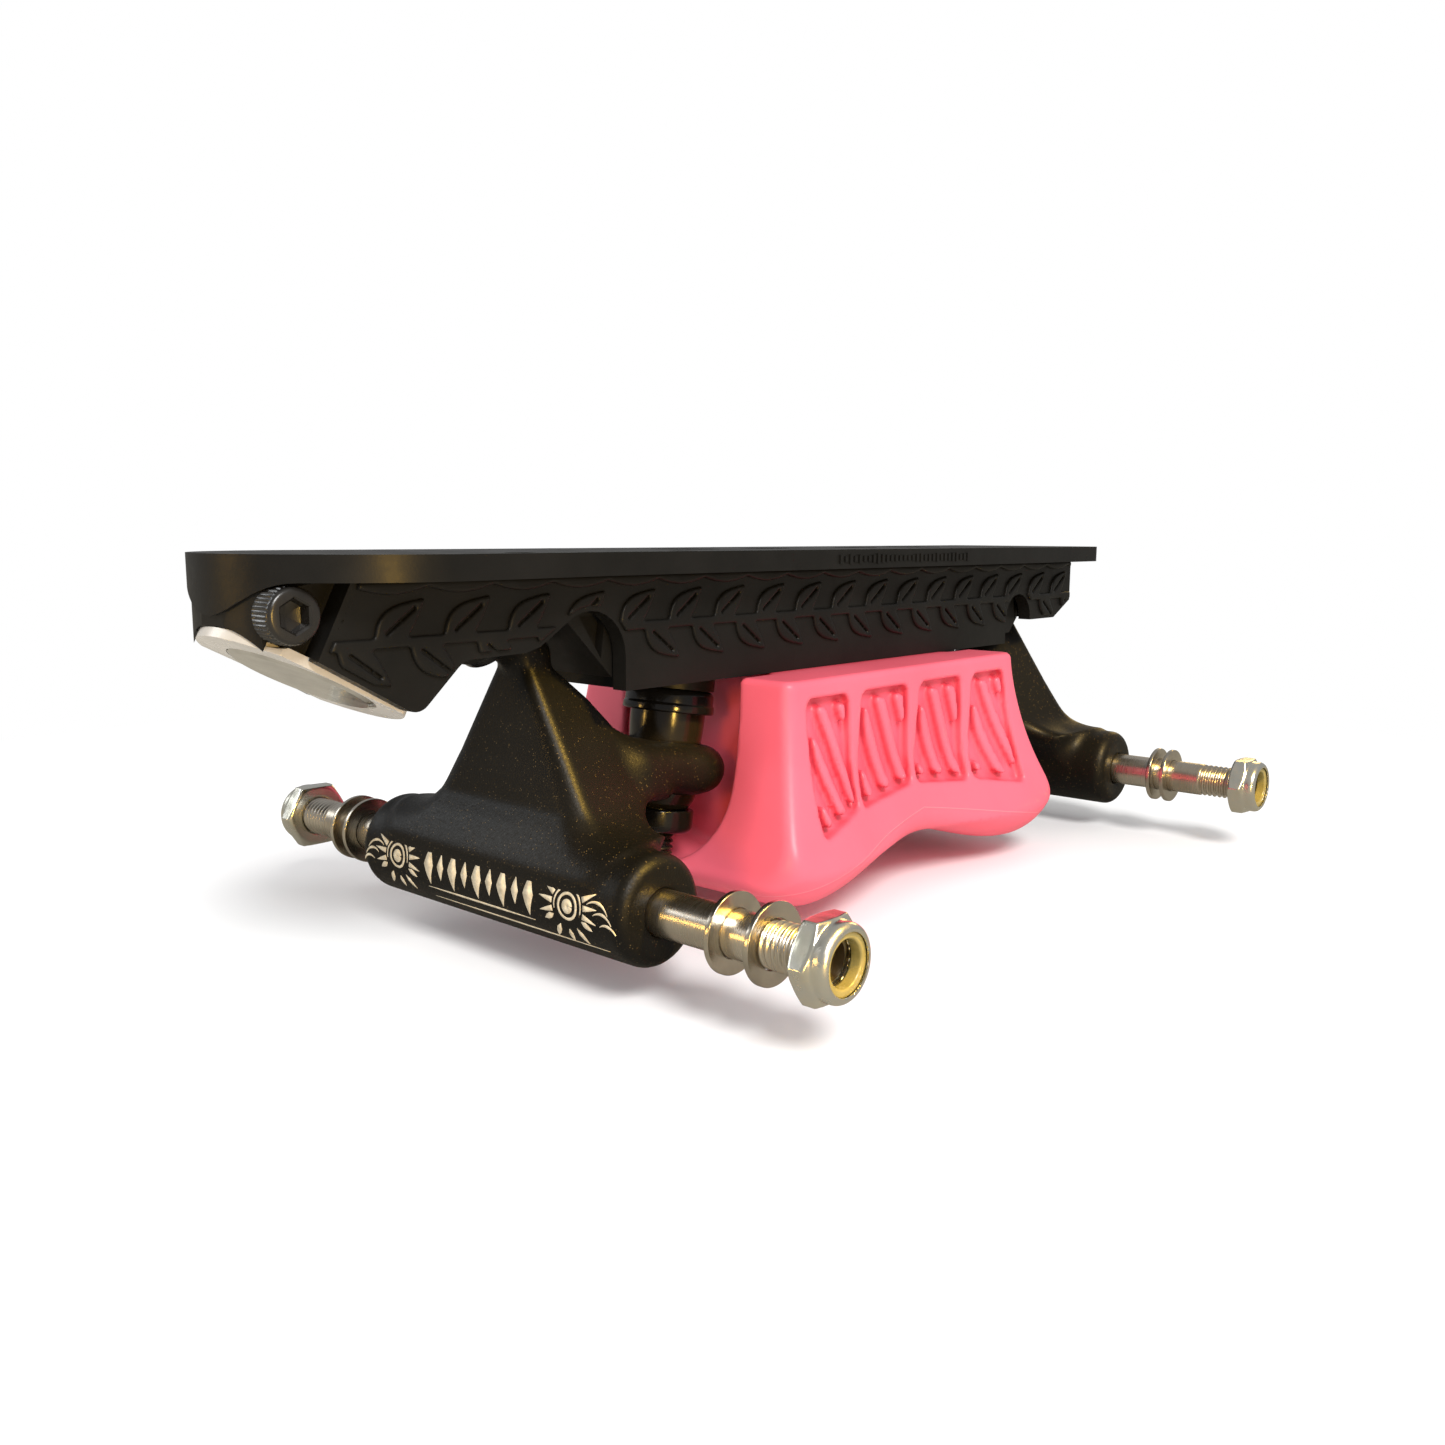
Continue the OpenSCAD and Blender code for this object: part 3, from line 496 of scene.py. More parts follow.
def axle_steel():
    """Turned steel, dark brown and duller on its two ends: painted shade deep in the nuts' mouths,
    with a little oxide.
    """
    f = Finish("axle steel").give(Metallic=1.0)
    lines = f.noise(1.0, 2, 0.5, at=f.stretched((1100, 45, 45)))
    stain = f.noise(90, 3, 0.5)
    # painted shade: from about 71 mm out to each end, inside a nut, the steel turns dark brown
    end = f.spread(f.size_of(f.axis(0)), 71.1 * MM, 71.6 * MM)
    unshaded_steel = f.tint(stain, (0.30, (0.46, 0.41, 0.34)), (0.66, (0.64, 0.60, 0.53)))
    f.colour(f.blend(end, unshaded_steel, (0.055, 0.038, 0.02, 1)))
    f.dullness(f.sums(f.spread(lines, 0.3, 0.7, 0.262, 0.285), f.sums(end, 0.3, "MULTIPLY")))
    f.bumps(lines, 0.01, 0.00002)
    return f.material


def gloss_black(name, tone, low, high, mirror):
    tones = (0.3, tone), (0.7, tuple(1.8 * t for t in tone))
    return clouded(name, (150, 3, 0.5), tones, (330, 3, 0.6, low, high),
                   (700, 2, 0.5, 0.06, 0.0001), IOR=1.55, Specular_IOR_Level=mirror)


NYLON = clouded(
    "black nylon", (55, 4, 0.6), ((0.3, (0.0050, 0.0050, 0.0046)), (0.7, (0.0086, 0.0084, 0.0078))),
    (160, 4, 0.65, 0.33, 0.47), (2600, 2, 0.5, 0.12, 0.00012), IOR=1.48, Specular_IOR_Level=0.18)
COAT = powder_coat()
PINK = pink_plastic()
ZINC = clouded(
    "bright zinc", (120, 3, 0.5),
    ((0.3, (0.73, 0.75, 0.73)), (0.55, (0.76, 0.75, 0.67)), (0.75, (0.72, 0.70, 0.58))),
    (500, 3, 0.6, 0.17, 0.29), (900, 2, 0.5, 0.06, 0.0001), Metallic=1.0)
AXLE_STEEL = axle_steel()
WASHER_STEEL = ground_steel("washer steel", (0.58, 0.54, 0.47), 0.2, 0.27, (200, 200, 200))
PLUG_METAL = ground_steel("polished plug metal", (0.84, 0.835, 0.82), 0.08, 0.18, (90, 700, 700))
BRASS = ground_steel("turned brass", (0.62, 0.46, 0.20), 0.2, 0.36, (900, 300, 300))
CUP_BLACK = gloss_black("gloss black steel", (0.003, 0.003, 0.0034), 0.1, 0.2, 0.3)
BOLT_BLACK = gloss_black("black oxide steel", (0.0065, 0.006, 0.0055), 0.24, 0.36, 0.5)
URETHANE = clouded(
    "dark urethane", (110, 3, 0.5),
    ((0.3, (0.0055, 0.0045, 0.003)), (0.7, (0.012, 0.0095, 0.0055))),
    (240, 3, 0.6, 0.12, 0.24), (600, 2, 0.5, 0.08, 0.00012), IOR=1.5, Specular_IOR_Level=0.35)
OLIVE = clouded(
    "olive nylon", (300, 3, 0.5), ((0.3, (0.17, 0.145, 0.045)), (0.7, (0.25, 0.215, 0.08))),
    (500, 3, 0.6, 0.22, 0.38), (900, 2, 0.5, 0.10, 0.00012), IOR=1.5)
CREAM = clouded(
    "cream plastic", (70, 4, 0.55), ((0.3, (0.40, 0.375, 0.335)), (0.7, (0.52, 0.49, 0.44))),
    (220, 3, 0.6, 0.16, 0.32), (500, 3, 0.5, 0.10, 0.0002), IOR=1.48)
INK = clouded(
    "cream etching", (900, 3, 0.6), ((0.3, (0.40, 0.34, 0.235)), (0.7, (0.60, 0.53, 0.39))),
    (600, 3, 0.6, 0.5, 0.7), (2300, 2, 0.5, 0.25, 0.00012), IOR=1.4)

# ---------------- slide block

BLOCK_HALF_X = 29
BLOCK_HALF_Y = 44
BLOCK_TOP = 33.8
LOBE_Y = 40
LOBE_R = 21
LOBE_LOW = -11.5
GROOVE_RISE = 7.3
# the sides and ends run out below a height in a round flare of this radius, down to its foot
SIDE_FLARE_R, SIDE_FLARE_Z, SIDE_FOOT_Z = 28.5, 17, -3
END_FLARE_R, END_FLARE_Z, END_FOOT_Z = 36, 20, -8
# how far the four corners are drawn in at the foot, and how late on the way down
CORNER_DRAW = 9.2
CORNER_CURVE = 1.57
CORNER_SHARE = 0.95
TROUGH_R = 16
TROUGH_Z = 11
TROUGH_HALF_Y = 33
# end y, other end y, height of the first lower corner, height of the other
PANELS = ((-39.5, -23.5, 3, 6), (-20.5, -1.5, 5.6, 8), (1.5, 20.5, 8, 5.6), (23.5, 39.5, 6, 3))
PANEL_TOP = 30
PANEL_DEPTH = 2.2
# a panel's first side starts this far out and leans in on the way up, and so does its other side
PANEL_OUT, PANEL_LEAN, PANEL_FAR_LEAN = 1.5, 2.3, 0.8
RIB_PITCH = 6.4
RIB_HALF = 1.3
RIB_MARGIN = 1.7
RIB_LEAN = math.radians(24)
BLOCK_BOLT_Y = 17
BLOCK_BORE_R = 3.2
BLOCK_SEAT_R = 6.5
BLOCK_SEAT_Z = 7


def ease(value, start, stop):
    t = np.clip((value - start) / (stop - start), 0, 1)
    return t * t * (3 - 2 * t)


def panel_field(y, z, panel):
    """Signed distance to one panel of the block's side, its corners rounded."""
    y0, y1, z0, z1 = panel
    left = y0 - PANEL_OUT + PANEL_LEAN * (z - z0) / (PANEL_TOP - z0) - y
    right = y - (y1 - PANEL_FAR_LEAN * (z - z1) / (PANEL_TOP - z1))
    slope = (z1 - z0) / (y1 - y0 + PANEL_OUT)
    low = (z0 + slope * (y - y0 + PANEL_OUT) - z) / math.hypot(1, slope)
    return round_both(round_both(left, right, 1.6), round_both(low, z - PANEL_TOP, 1.6), 2.0)


def flared(across, z, half, radius, start, foot):
    """Distance to a wall that stands at half and flares out below a height, down to its foot."""
    below = radius - np.hypot(radius + half - across, start - np.maximum(z, foot))
    return np.where(z < start, below, across - half)


def drawn_in(z, radius, start):
    """How far a corner stands back from a wall's flare at each height."""
    fall = np.clip((BLOCK_TOP - z) / (BLOCK_TOP - SIDE_FOOT_Z), 0, 1)
    flare = radius - np.sqrt(radius**2 - np.clip(start - z, 0, start - SIDE_FOOT_Z) ** 2)
    return CORNER_SHARE * np.maximum(CORNER_DRAW * fall**CORNER_CURVE - flare, 0)


def underside(ay, z):
    """Distance to the two round lobes and the grinding groove between them."""
    wave = math.pi / LOBE_Y
    groove = GROOVE_RISE * (1 + np.cos(wave * np.minimum(ay, LOBE_Y))) / 2 + LOBE_LOW
    steep = GROOVE_RISE / 2 * wave * np.sin(wave * np.minimum(ay, LOBE_Y))
    lobe_z = LOBE_LOW + LOBE_R
    lobe = np.where(z < lobe_z, np.hypot(ay - LOBE_Y, z - lobe_z) - LOBE_R, ay - LOBE_Y - LOBE_R)
    return np.where(ay < LOBE_Y, (groove - z) / np.hypot(1, steep), lobe)


def block_field(x, y, z):
    ax, ay = np.abs(x), np.abs(y)
    side = flared(ax, z, BLOCK_HALF_X, SIDE_FLARE_R, SIDE_FLARE_Z, SIDE_FOOT_Z)
    side = side - drawn_in(z, SIDE_FLARE_R, SIDE_FLARE_Z) * ease(ay, 15, 42)
    end = flared(ay, z, BLOCK_HALF_Y, END_FLARE_R, END_FLARE_Z, END_FOOT_Z)
    end = end - drawn_in(z, END_FLARE_R, END_FLARE_Z) * ease(ax, 8, 26)
    low = underside(ay, z)
    body = round_both(round_both(side, low, 10), end, 2.6)
    body = round_both(body, low, 1.5)
    body = round_both(body, z - BLOCK_TOP, 1.3)
    trough = np.where(z > TROUGH_Z, ax, np.hypot(ax, z - TROUGH_Z)) - TROUGH_R
    body = round_both(body, -round_both(trough, TROUGH_HALF_Y - ay, 2.2), 1.0)
    for panel in PANELS:
        area = panel_field(y, z, panel)
        run = y * math.cos(RIB_LEAN) + (z - PANEL_TOP / 2) * math.sin(RIB_LEAN)
        bar = np.abs((run + RIB_PITCH / 2) % RIB_PITCH - RIB_PITCH / 2) - RIB_HALF
        bar = round_both(bar, area + RIB_MARGIN, 1.15)
        sunk = round_both(area, -PANEL_DEPTH - side, 0.6)
        body = round_both(body, -round_both(sunk, -bar, 0.45), 0.5)
    bolt = np.hypot(x, ay - BLOCK_BOLT_Y)
    hole = np.minimum(np.maximum(bolt - BLOCK_SEAT_R, z - BLOCK_SEAT_Z), bolt - BLOCK_BORE_R)
    return round_both(body, -hole, 0.8)


points, faces = skin(block_field, (-39, -57, LOBE_LOW), (39, 57, BLOCK_TOP), 0.78)
piece("slide_block_moulding", plate_place(points), faces, PINK, "plate",
      replaces=["slide_block"])

# ---------------- hangers

BARREL_R = 9.75
BARREL_HALF = 37.5
ARM_TOP = 42
RING_R = 12.9
RING_HALF = 4.9
RING_BORE_R = 6.5
NECK_HALF = 8
NECK_REACH = 16
PIVOT_R = 4.25
PIVOT_ROOT = 43
PIVOT_BALL = 55
AXLE_R = 4
AXLE_FIT = 0.03
# the arm's edges are rounded this much at the top, more for each millimetre down, and at most
ARM_ROUND, ARM_ROUND_GAIN, ARM_ROUND_MOST = 1.6, 0.1, 4.2
# the arm narrows towards its back by this share of the way from a line behind its front
ARM_NARROWS, ARM_NARROWS_FROM = 0.30, 1.5


def arm_outline():
    """Front outline of the arm: straight sides that run out into the barrel's top."""
    taper, half, foot_x, foot_z = 0.642, 2.75, 31, 9.45
    side = half + taper * ARM_TOP
    norm = math.hypot(1, taper)
    r = (foot_x + taper * foot_z - side) / (norm - taper)
    turn = math.atan2(-taper, -1) + 2 * math.pi
    arc = [(foot_x + r * math.cos(a), foot_z + r + r * math.sin(a))
           for a in np.linspace(1.5 * math.pi, turn, 14)]
    right = [(foot_x, 0)] + arc + [(half, ARM_TOP)]
    return right + [(-x, z) for x, z in reversed(right)]


def web_outline():
    """Side outline of the arm and web, from the barrel's front up to the pivot and to the neck."""
    arc = [(23.75 - 15 * math.sin(a), -3.4 + 15 * math.cos(a)) for a in np.linspace(0.05, 1.45, 12)]
    back = [(-0.6, ARM_TOP), (3.3, 41.6), (8.3, 37.3), (14.8, 31.6), (19.4, 26.1), (24.2, 21.4),
            (28, 20.4), (28, 11.6)]
    return back + arc + [(0, -4), (-8.2, 5), (-6.2, 9.2), (-3.7, 14), (-2.4, 22)]


ARM_FRONT = arm_outline()
ARM_SIDE = web_outline()


def hanger_field(x, y, z):
    barrel = round_both(np.hypot(y, z) - BARREL_R, np.abs(x) - BARREL_HALF, 2.6)
    narrowed = np.abs(x) + ARM_NARROWS * np.maximum(y + ARM_NARROWS_FROM, 0)
    rounding = np.clip(ARM_ROUND + ARM_ROUND_GAIN * (ARM_TOP - z), ARM_ROUND, ARM_ROUND_MOST)
    arm = round_both(outline_distance(narrowed, z, ARM_FRONT) / 1.05,
                     outline_distance(y, z, ARM_SIDE), rounding)
    back, up = y - RING_BACK, z - RING_RISE
    v = back * math.cos(LEAN) - up * math.sin(LEAN)
    w = back * math.sin(LEAN) + up * math.cos(LEAN)
    ring = np.hypot(np.maximum(np.hypot(x, v) - RING_R + RING_HALF, 0), w) - RING_HALF
    past = np.maximum(-v - NECK_REACH, 0) + np.maximum(v, 0)
    neck = np.sqrt(np.maximum(np.abs(x) - NECK_HALF, 0) ** 2 + past**2 + w**2) - RING_HALF
    along = -back * math.cos(STEER) + up * math.sin(STEER)
    off = -back * math.sin(STEER) - up * math.cos(STEER)
    beyond = np.maximum(PIVOT_ROOT - along, 0) + np.maximum(along - PIVOT_BALL, 0)
    pivot = np.hypot(np.hypot(x, off), beyond) - PIVOT_R
    body = round_join(barrel, arm, 2.6)
    body = round_join(body, round_join(ring, neck, 1.0), 4.0)
    body = round_join(body, pivot, 1.6)
    body = round_both(body, RING_BORE_R - np.hypot(x, v), 0.7)
    return round_both(body, AXLE_R + AXLE_FIT - np.hypot(y, z), 0.6)


hanger_points, hanger_faces = skin(hanger_field, (-37.6, -9.9, -9.9), (37.6, 51.2, 52), 0.72)
for side in SIDES:
    piece(side + "_hanger_casting", truck_place(hanger_points, side), hanger_faces, COAT,
          side + "_truck", replaces=[side + "_hanger"])

# ---------------- axles, nuts and washers

AXLE_HALF = 72
THREAD_START = 60.5
THREAD_PITCH = 1.25
THREAD_DEPTH = 0.62
THREAD_STEP = 0.14
ROD_CHAMFER = 0.6
ROD_TURNS = 56
NUT_START = 69
NUT_FLATS = 13
NUT_HEX = 3.7
NUT_LEN = 6.4
NUT_BORE_R = 4.05
COLLAR_R = 6.25
# the nylon ring's seat in the collar, and the collar's mouth over it
SEAT_R, SEAT_START, SEAT_END = 5.2, 3.6, 5.9
MOUTH_R = 4.85
# cosine of a hexagon's 30 degrees, and the slope of its turned corners
COS_30 = 0.866
ACROSS, ALONG = 0.447, 0.894
WASHER_R = 6.75
WASHER_BORE_R = 4.05
WASHER_HALF = 0.5


def threaded_rod(r, stations, threads):
    """A rod along Z with chamfered ends and helical threads in the given stretches."""
    low, high = stations[0], stations[-1]
    angle = np.linspace(0, 2 * math.pi, ROD_TURNS, endpoint=False)
    rows = []
    for s in stations:
        radius = np.full(ROD_TURNS, float(r))
        for start, stop in threads:
            fade = min(1, max(0, min(s - start, stop - s) / THREAD_PITCH + 0.35))
            if start <= s <= stop:
                wave = (s / THREAD_PITCH - angle / (2 * math.pi)) % 1
                radius -= fade * THREAD_DEPTH * (0.5 + 0.5 * np.cos(2 * math.pi * wave)) + 0.03
        rows.append((np.minimum(radius, r - ROD_CHAMFER + min(s - low, high - s)), s))
    points, faces = stacked(rows, ROD_TURNS)
    last = len(points) - ROD_TURNS
    return points, faces + [list(range(ROD_TURNS))[::-1], list(range(last, len(points)))]


def nut_field(x, y, z):
    """Lock nut with its hexagon from z 0, a domed collar and a lip crimped over the insert."""
    slants = np.maximum(np.abs(y / 2 + x * COS_30), np.abs(y / 2 - x * COS_30))
    hexagon = np.maximum(np.abs(y), slants) - NUT_FLATS / 2
    radial = np.hypot(x, y)
    for height in (-z, z - NUT_HEX):
        turned = (radial - NUT_FLATS / 2) * ACROSS + height * ALONG + 0.02
        hexagon = round_both(round_both(hexagon, turned, 0.25), height, 0.2)
    collar = round_both(radial - COLLAR_R, np.maximum(z - NUT_LEN, -z), 1.35)
    body = np.maximum(round_join(hexagon, collar, 0.45), -z)
    seat = np.maximum(radial - SEAT_R, np.maximum(SEAT_START - z, z - SEAT_END))
    mouth = np.maximum(radial - MOUTH_R, SEAT_START - z)
    body = np.maximum(body, -np.minimum(radial - NUT_BORE_R, seat))
    return round_both(body, -mouth, 0.35)


def band(inner, outer, low, high):
    """Profile of a plain ring."""
    return [(inner, low), (outer, low), (outer, high), (inner, high)]


nut_points, nut_faces = skin(nut_field, (-7.6, -7.6, 0), (7.6, 7.6, NUT_LEN), 0.27, settle=4)
insert_points, insert_faces = lathe(soften(band(3.75, 5.15, 3.65, 5.85), 0.4))
washer_points, washer_faces = lathe(
    soften(band(WASHER_BORE_R, WASHER_R, -WASHER_HALF, WASHER_HALF), 0.16), 80)
fine = list(np.arange(THREAD_START - 1, AXLE_HALF - 0.7, THREAD_STEP))
fine += [AXLE_HALF - ROD_CHAMFER, AXLE_HALF]
stations = [-s for s in reversed(fine)] + [-45, -38.5, -20, 0, 20, 38.5, 45] + fine
rod_points, rod_faces = threaded_rod(
    AXLE_R, stations, [(-AXLE_HALF - 1, -THREAD_START), (THREAD_START, AXLE_HALF + 1)])


def at_axle(points, side, shift=0.0, hand=1):
    """Places what is drawn along Z on an axle, shifted outwards to one hand."""
    p = along_x(points)
    p[:, 0] = hand * (p[:, 0] + shift)
    return truck_place(p, side)


for side in SIDES:
    body = side + "_truck"
    piece(side + "_axle_rod", at_axle(rod_points, side), rod_faces, AXLE_STEEL, body,
          replaces=[side + "_axle"])
    for hand, name in ((-1, "left"), (1, "right")):
        crisp(piece(side + "_" + name + "_lock_nut", at_axle(nut_points, side, NUT_START, hand),
                    nut_faces, ZINC, body, replaces=[side + "_axle_nuts"]), 40)
        piece(side + "_" + name + "_nylon_ring", at_axle(insert_points, side, NUT_START, hand),
              insert_faces, OLIVE, body, replaces=[side + "_nut_inserts"])
        for lie in ("inner", "outer"):
            node = "_".join((side, "washer", name, lie))
            reach = abs(middle(node)[0])
            piece(node + "_disc", at_axle(washer_points, side, reach, hand), washer_faces,
                  WASHER_STEEL, node, replaces=[node])

# ---------------- kingpins and cushions

UPPER_CUP_TOP = 15.9
UPPER_CUP_RIM = 11.5
LOWER_CUP_RIM = -8.7
LOWER_CUP_FOOT = -13.5
PIN_FOOT = -18.5
PIN_TOP = 38.4
HEAD_FLATS = 13
HEAD_TURNS = 72
HEAD_LOW = 37.52
HEAD_HIGH = 42.8
CUSHION_BORE_R = 4.4
CUSHION_STEPS = 14


def barrel_shape(foot_r, top_r, foot, top, swell):
    """Profile of a cushion that swells between its faces."""
    outer = [(foot_r + (top_r - foot_r) * t + swell * 4 * t * (1 - t), foot + (top - foot) * t, 0.9)
             for t in (i / CUSHION_STEPS for i in range(CUSHION_STEPS + 1))]
    return soften([(CUSHION_BORE_R, foot)] + outer + [(CUSHION_BORE_R, top)], 0.5)


UPPER_CUSHION = barrel_shape(7.45, 7.6, RING_HALF + 0.05, 14.6, 0.2)
LOWER_CUSHION = barrel_shape(6.1, 7.5, LOWER_CUP_RIM + 0.2, -RING_HALF - 0.05, 0.4)
UPPER_CUP = soften([(4.1, UPPER_CUP_TOP), (4.1, 14.7), (8.05, 14.7), (8.05, UPPER_CUP_RIM - 0.4),
                    (9.45, UPPER_CUP_RIM - 0.4, 0.4), (9.4, 12.6, 0.4), (9.15, 13.0, 0.3),
                    (9.1, UPPER_CUP_TOP, 1.6)], 0.25)
LOWER_CUP = soften([(4.05, LOWER_CUP_FOOT), (7.5, LOWER_CUP_FOOT, 3.0), (7.5, LOWER_CUP_RIM, 0.4),
                    (6.3, LOWER_CUP_RIM, 0.4), (6.3, -10.9, 0.8), (4.05, -10.9)], 0.2, steps=8)
pin_stations = list(np.arange(PIN_FOOT, -12.9, THREAD_STEP)) + [-9, 0, 15, PIN_TOP - 0.5, PIN_TOP]
PIN_SHANK = threaded_rod(4.0, pin_stations, [(PIN_FOOT - 1, -13)])


def hexagon_head():
    """The kingpin's hexagonal head, its outer corners turned off."""
    flats, half = hexagonal(HEAD_FLATS, HEAD_TURNS), HEAD_FLATS / 2
    return stacked([(0, HEAD_LOW), (flats - 0.3, HEAD_LOW), (flats, HEAD_LOW + 0.3),
                    (flats, HEAD_HIGH - 0.55), (np.minimum(flats, half + 0.45), HEAD_HIGH - 0.28),
                    (half - 0.15, HEAD_HIGH), (0, HEAD_HIGH)], HEAD_TURNS)


for side in SIDES:
    for part, (shape_points, shape_faces) in (("shank", PIN_SHANK), ("head", hexagon_head())):
        made = piece(side + "_kingpin_" + part, kingpin_place(shape_points, side), shape_faces,
                     BOLT_BLACK, "plate", replaces=[side + "_kingpin"])
        weighed(crisp(made, 26))
    for name, profile, finish, slot in (("upper_cup_washer", UPPER_CUP, CUP_BLACK, "black_steel"),
                                        ("cup_nut", LOWER_CUP, CUP_BLACK, "black_steel"),
                                        ("upper_cushion", UPPER_CUSHION, URETHANE, "urethane"),
                                        ("lower_cushion", LOWER_CUSHION, URETHANE, "urethane")):
        shape_points, shape_faces = lathe(profile)
        made = piece(side + "_" + name + "_turned", kingpin_place(shape_points, side), shape_faces,
                     finish, "plate", replaces=[side + "_" + name])
        if "cushion" in name:
            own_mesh(made)

# ---------------- baseplate

SAME_SPOT = 2e-6
FLAT_ANGLE = math.radians(0.6)
CORNER_ANGLE = math.radians(28)


def eased(node, name, width, finish):
    """A copy of a CAD piece with its real edges slightly rounded, which stands for that piece."""
    source = nodes[node]
    shape = bmesh.new()
    shape.from_mesh(source.data)
    shape.transform(source.matrix_world)
    bmesh.ops.remove_doubles(shape, verts=shape.verts, dist=SAME_SPOT)
    bmesh.ops.dissolve_limit(shape, angle_limit=FLAT_ANGLE, verts=shape.verts, edges=shape.edges)
    corners = [edge for edge in shape.edges
               if len(edge.link_faces) == 2 and edge.calc_face_angle(0) > CORNER_ANGLE]
    bmesh.ops.bevel(shape, geom=corners, offset=width * MM, segments=2, profile=0.5, affect="EDGES",
                    clamp_overlap=True)
    bmesh.ops.triangulate(shape, faces=shape.faces)
    points = np.array([v.co for v in shape.verts]) / MM
    faces = [[v.index for v in f.verts] for f in shape.faces]
    shape.free()
    made = piece(name, points, faces, finish, "plate", replaces=[node])
    return weighed(crisp(made, 40))


eased("baseplate", "baseplate_moulding", 0.35, NYLON)

KEEL_HALF = 15
RELIEF_RISE = 0.7
RELIEF_SINK = 0.3
LEAF_PITCH = 12.6
LEAF_LEN = 11.2
LEAF_HALF = 2.9
STEM_Z = 45.6
STEM_HALF = 0.8
LEAF_TURN = math.radians(36)
VEIN_HALF = 0.26
VEIN_START = 2.2
BAND_Z = 53.9
SCALLOP_DEPTH = 1.1


def bend(y, z, r, start, stop, steps):
    """Points of an arc about (y, z), in degrees."""
    turns = np.radians(np.linspace(start, stop, steps))
    return [(y + r * math.cos(a), z + r * math.sin(a)) for a in turns]


def keel_outline():
    """The side wall from toe to heel in plate axes, with the arches over both trucks."""
    front = bend(-82.5, 40.2, 8.5, 0, 128, 9)
    toe = bend(-118.8, 37.6, 3, -45, -117, 6)
    rear = bend(71.1, 40, 6.6, -4, 180, 10)
    return ([(-74, 33.8)] + front + [(-94, 43.1), (-97, 42.3), (-108, 42), (-110.8, 40.8)] + toe
            + [(-135.3, 43.6), (-128.9, 55.6), (100.5, 55.6), (100.5, 44.1), (91.3, 39.5)] + rear
            + [(64.5, 33.8)])


KEEL = keel_outline()


def leaf(u, v):
    """Signed distance, about, to a leaf that starts at u 0 and points along u."""
    t = np.clip(u / LEAF_LEN, 0, 1)
    half = LEAF_HALF * np.sin(math.pi * t**0.8) * (1 - 0.25 * t)
    past = np.hypot(np.maximum(-u, u - LEAF_LEN), v)
    return np.where((u < 0) | (u > LEAF_LEN), past, (np.abs(v) - half) / 1.25)


def garland_field(y, z):
    """Raised leaves in turn above and below a stem, with a scalloped band under the deck."""
    shape = np.abs(z - STEM_Z) - STEM_HALF
    vein = np.full(y.shape, LEAF_LEN)
    at = (y + LEAF_PITCH / 2) % LEAF_PITCH - LEAF_PITCH / 2
    for hand, start in ((1, 0), (-1, LEAF_PITCH / 2)):
        for shift in (-1, 0, 1):
            along, up = at - start - shift * LEAF_PITCH, hand * (z - STEM_Z)
            u = along * math.cos(LEAF_TURN) + up * math.sin(LEAF_TURN)
            v = up * math.cos(LEAF_TURN) - along * math.sin(LEAF_TURN)
            shape = round_join(shape, leaf(u, v), 0.5)
            reach = np.maximum(VEIN_START - u, u - 0.8 * LEAF_LEN)
            vein = np.minimum(vein, np.maximum(np.abs(v) - VEIN_HALF, reach))
    scallop = (y + 3) % LEAF_PITCH - LEAF_PITCH / 2
    band = BAND_Z - SCALLOP_DEPTH * np.cos(scallop / LEAF_PITCH * math.pi) - z
    shape = np.maximum(np.minimum(shape, band), -vein)
    return np.maximum(shape, outline_distance(y, z, KEEL) + 0.9)


def relief_field(x, y, z):
    """The garland as a layer that rises from the keel's side wall and is sunk a little into it."""
    layer = np.abs(x - KEEL_HALF - RELIEF_RISE / 2 + RELIEF_SINK) - RELIEF_RISE / 2 - RELIEF_SINK
    return round_both(garland_field(y, z), layer, 0.34)


relief_points, relief_faces = skin(relief_field, (14.3, -133, 34), (16, 101, 55.6), 0.42, settle=2)
for hand, name in ((1, "right"), (-1, "left")):
    piece("keel_garland_" + name, plate_place(relief_points * np.array([hand, 1, 1])), relief_faces,
          NYLON, "plate")

DECK_HALF = 23
DECK_MID_Z = 57
TICKS_START = -20
# the lowest bar's share of the full height
LEAST_TICK = 0.45
TICKS = {"Count": 31, "Pitch": 1.68 * MM, "Width": 0.9 * MM, "Height": 2.2 * MM,
         "Depth": 0.7 * MM, "Seed": 4}


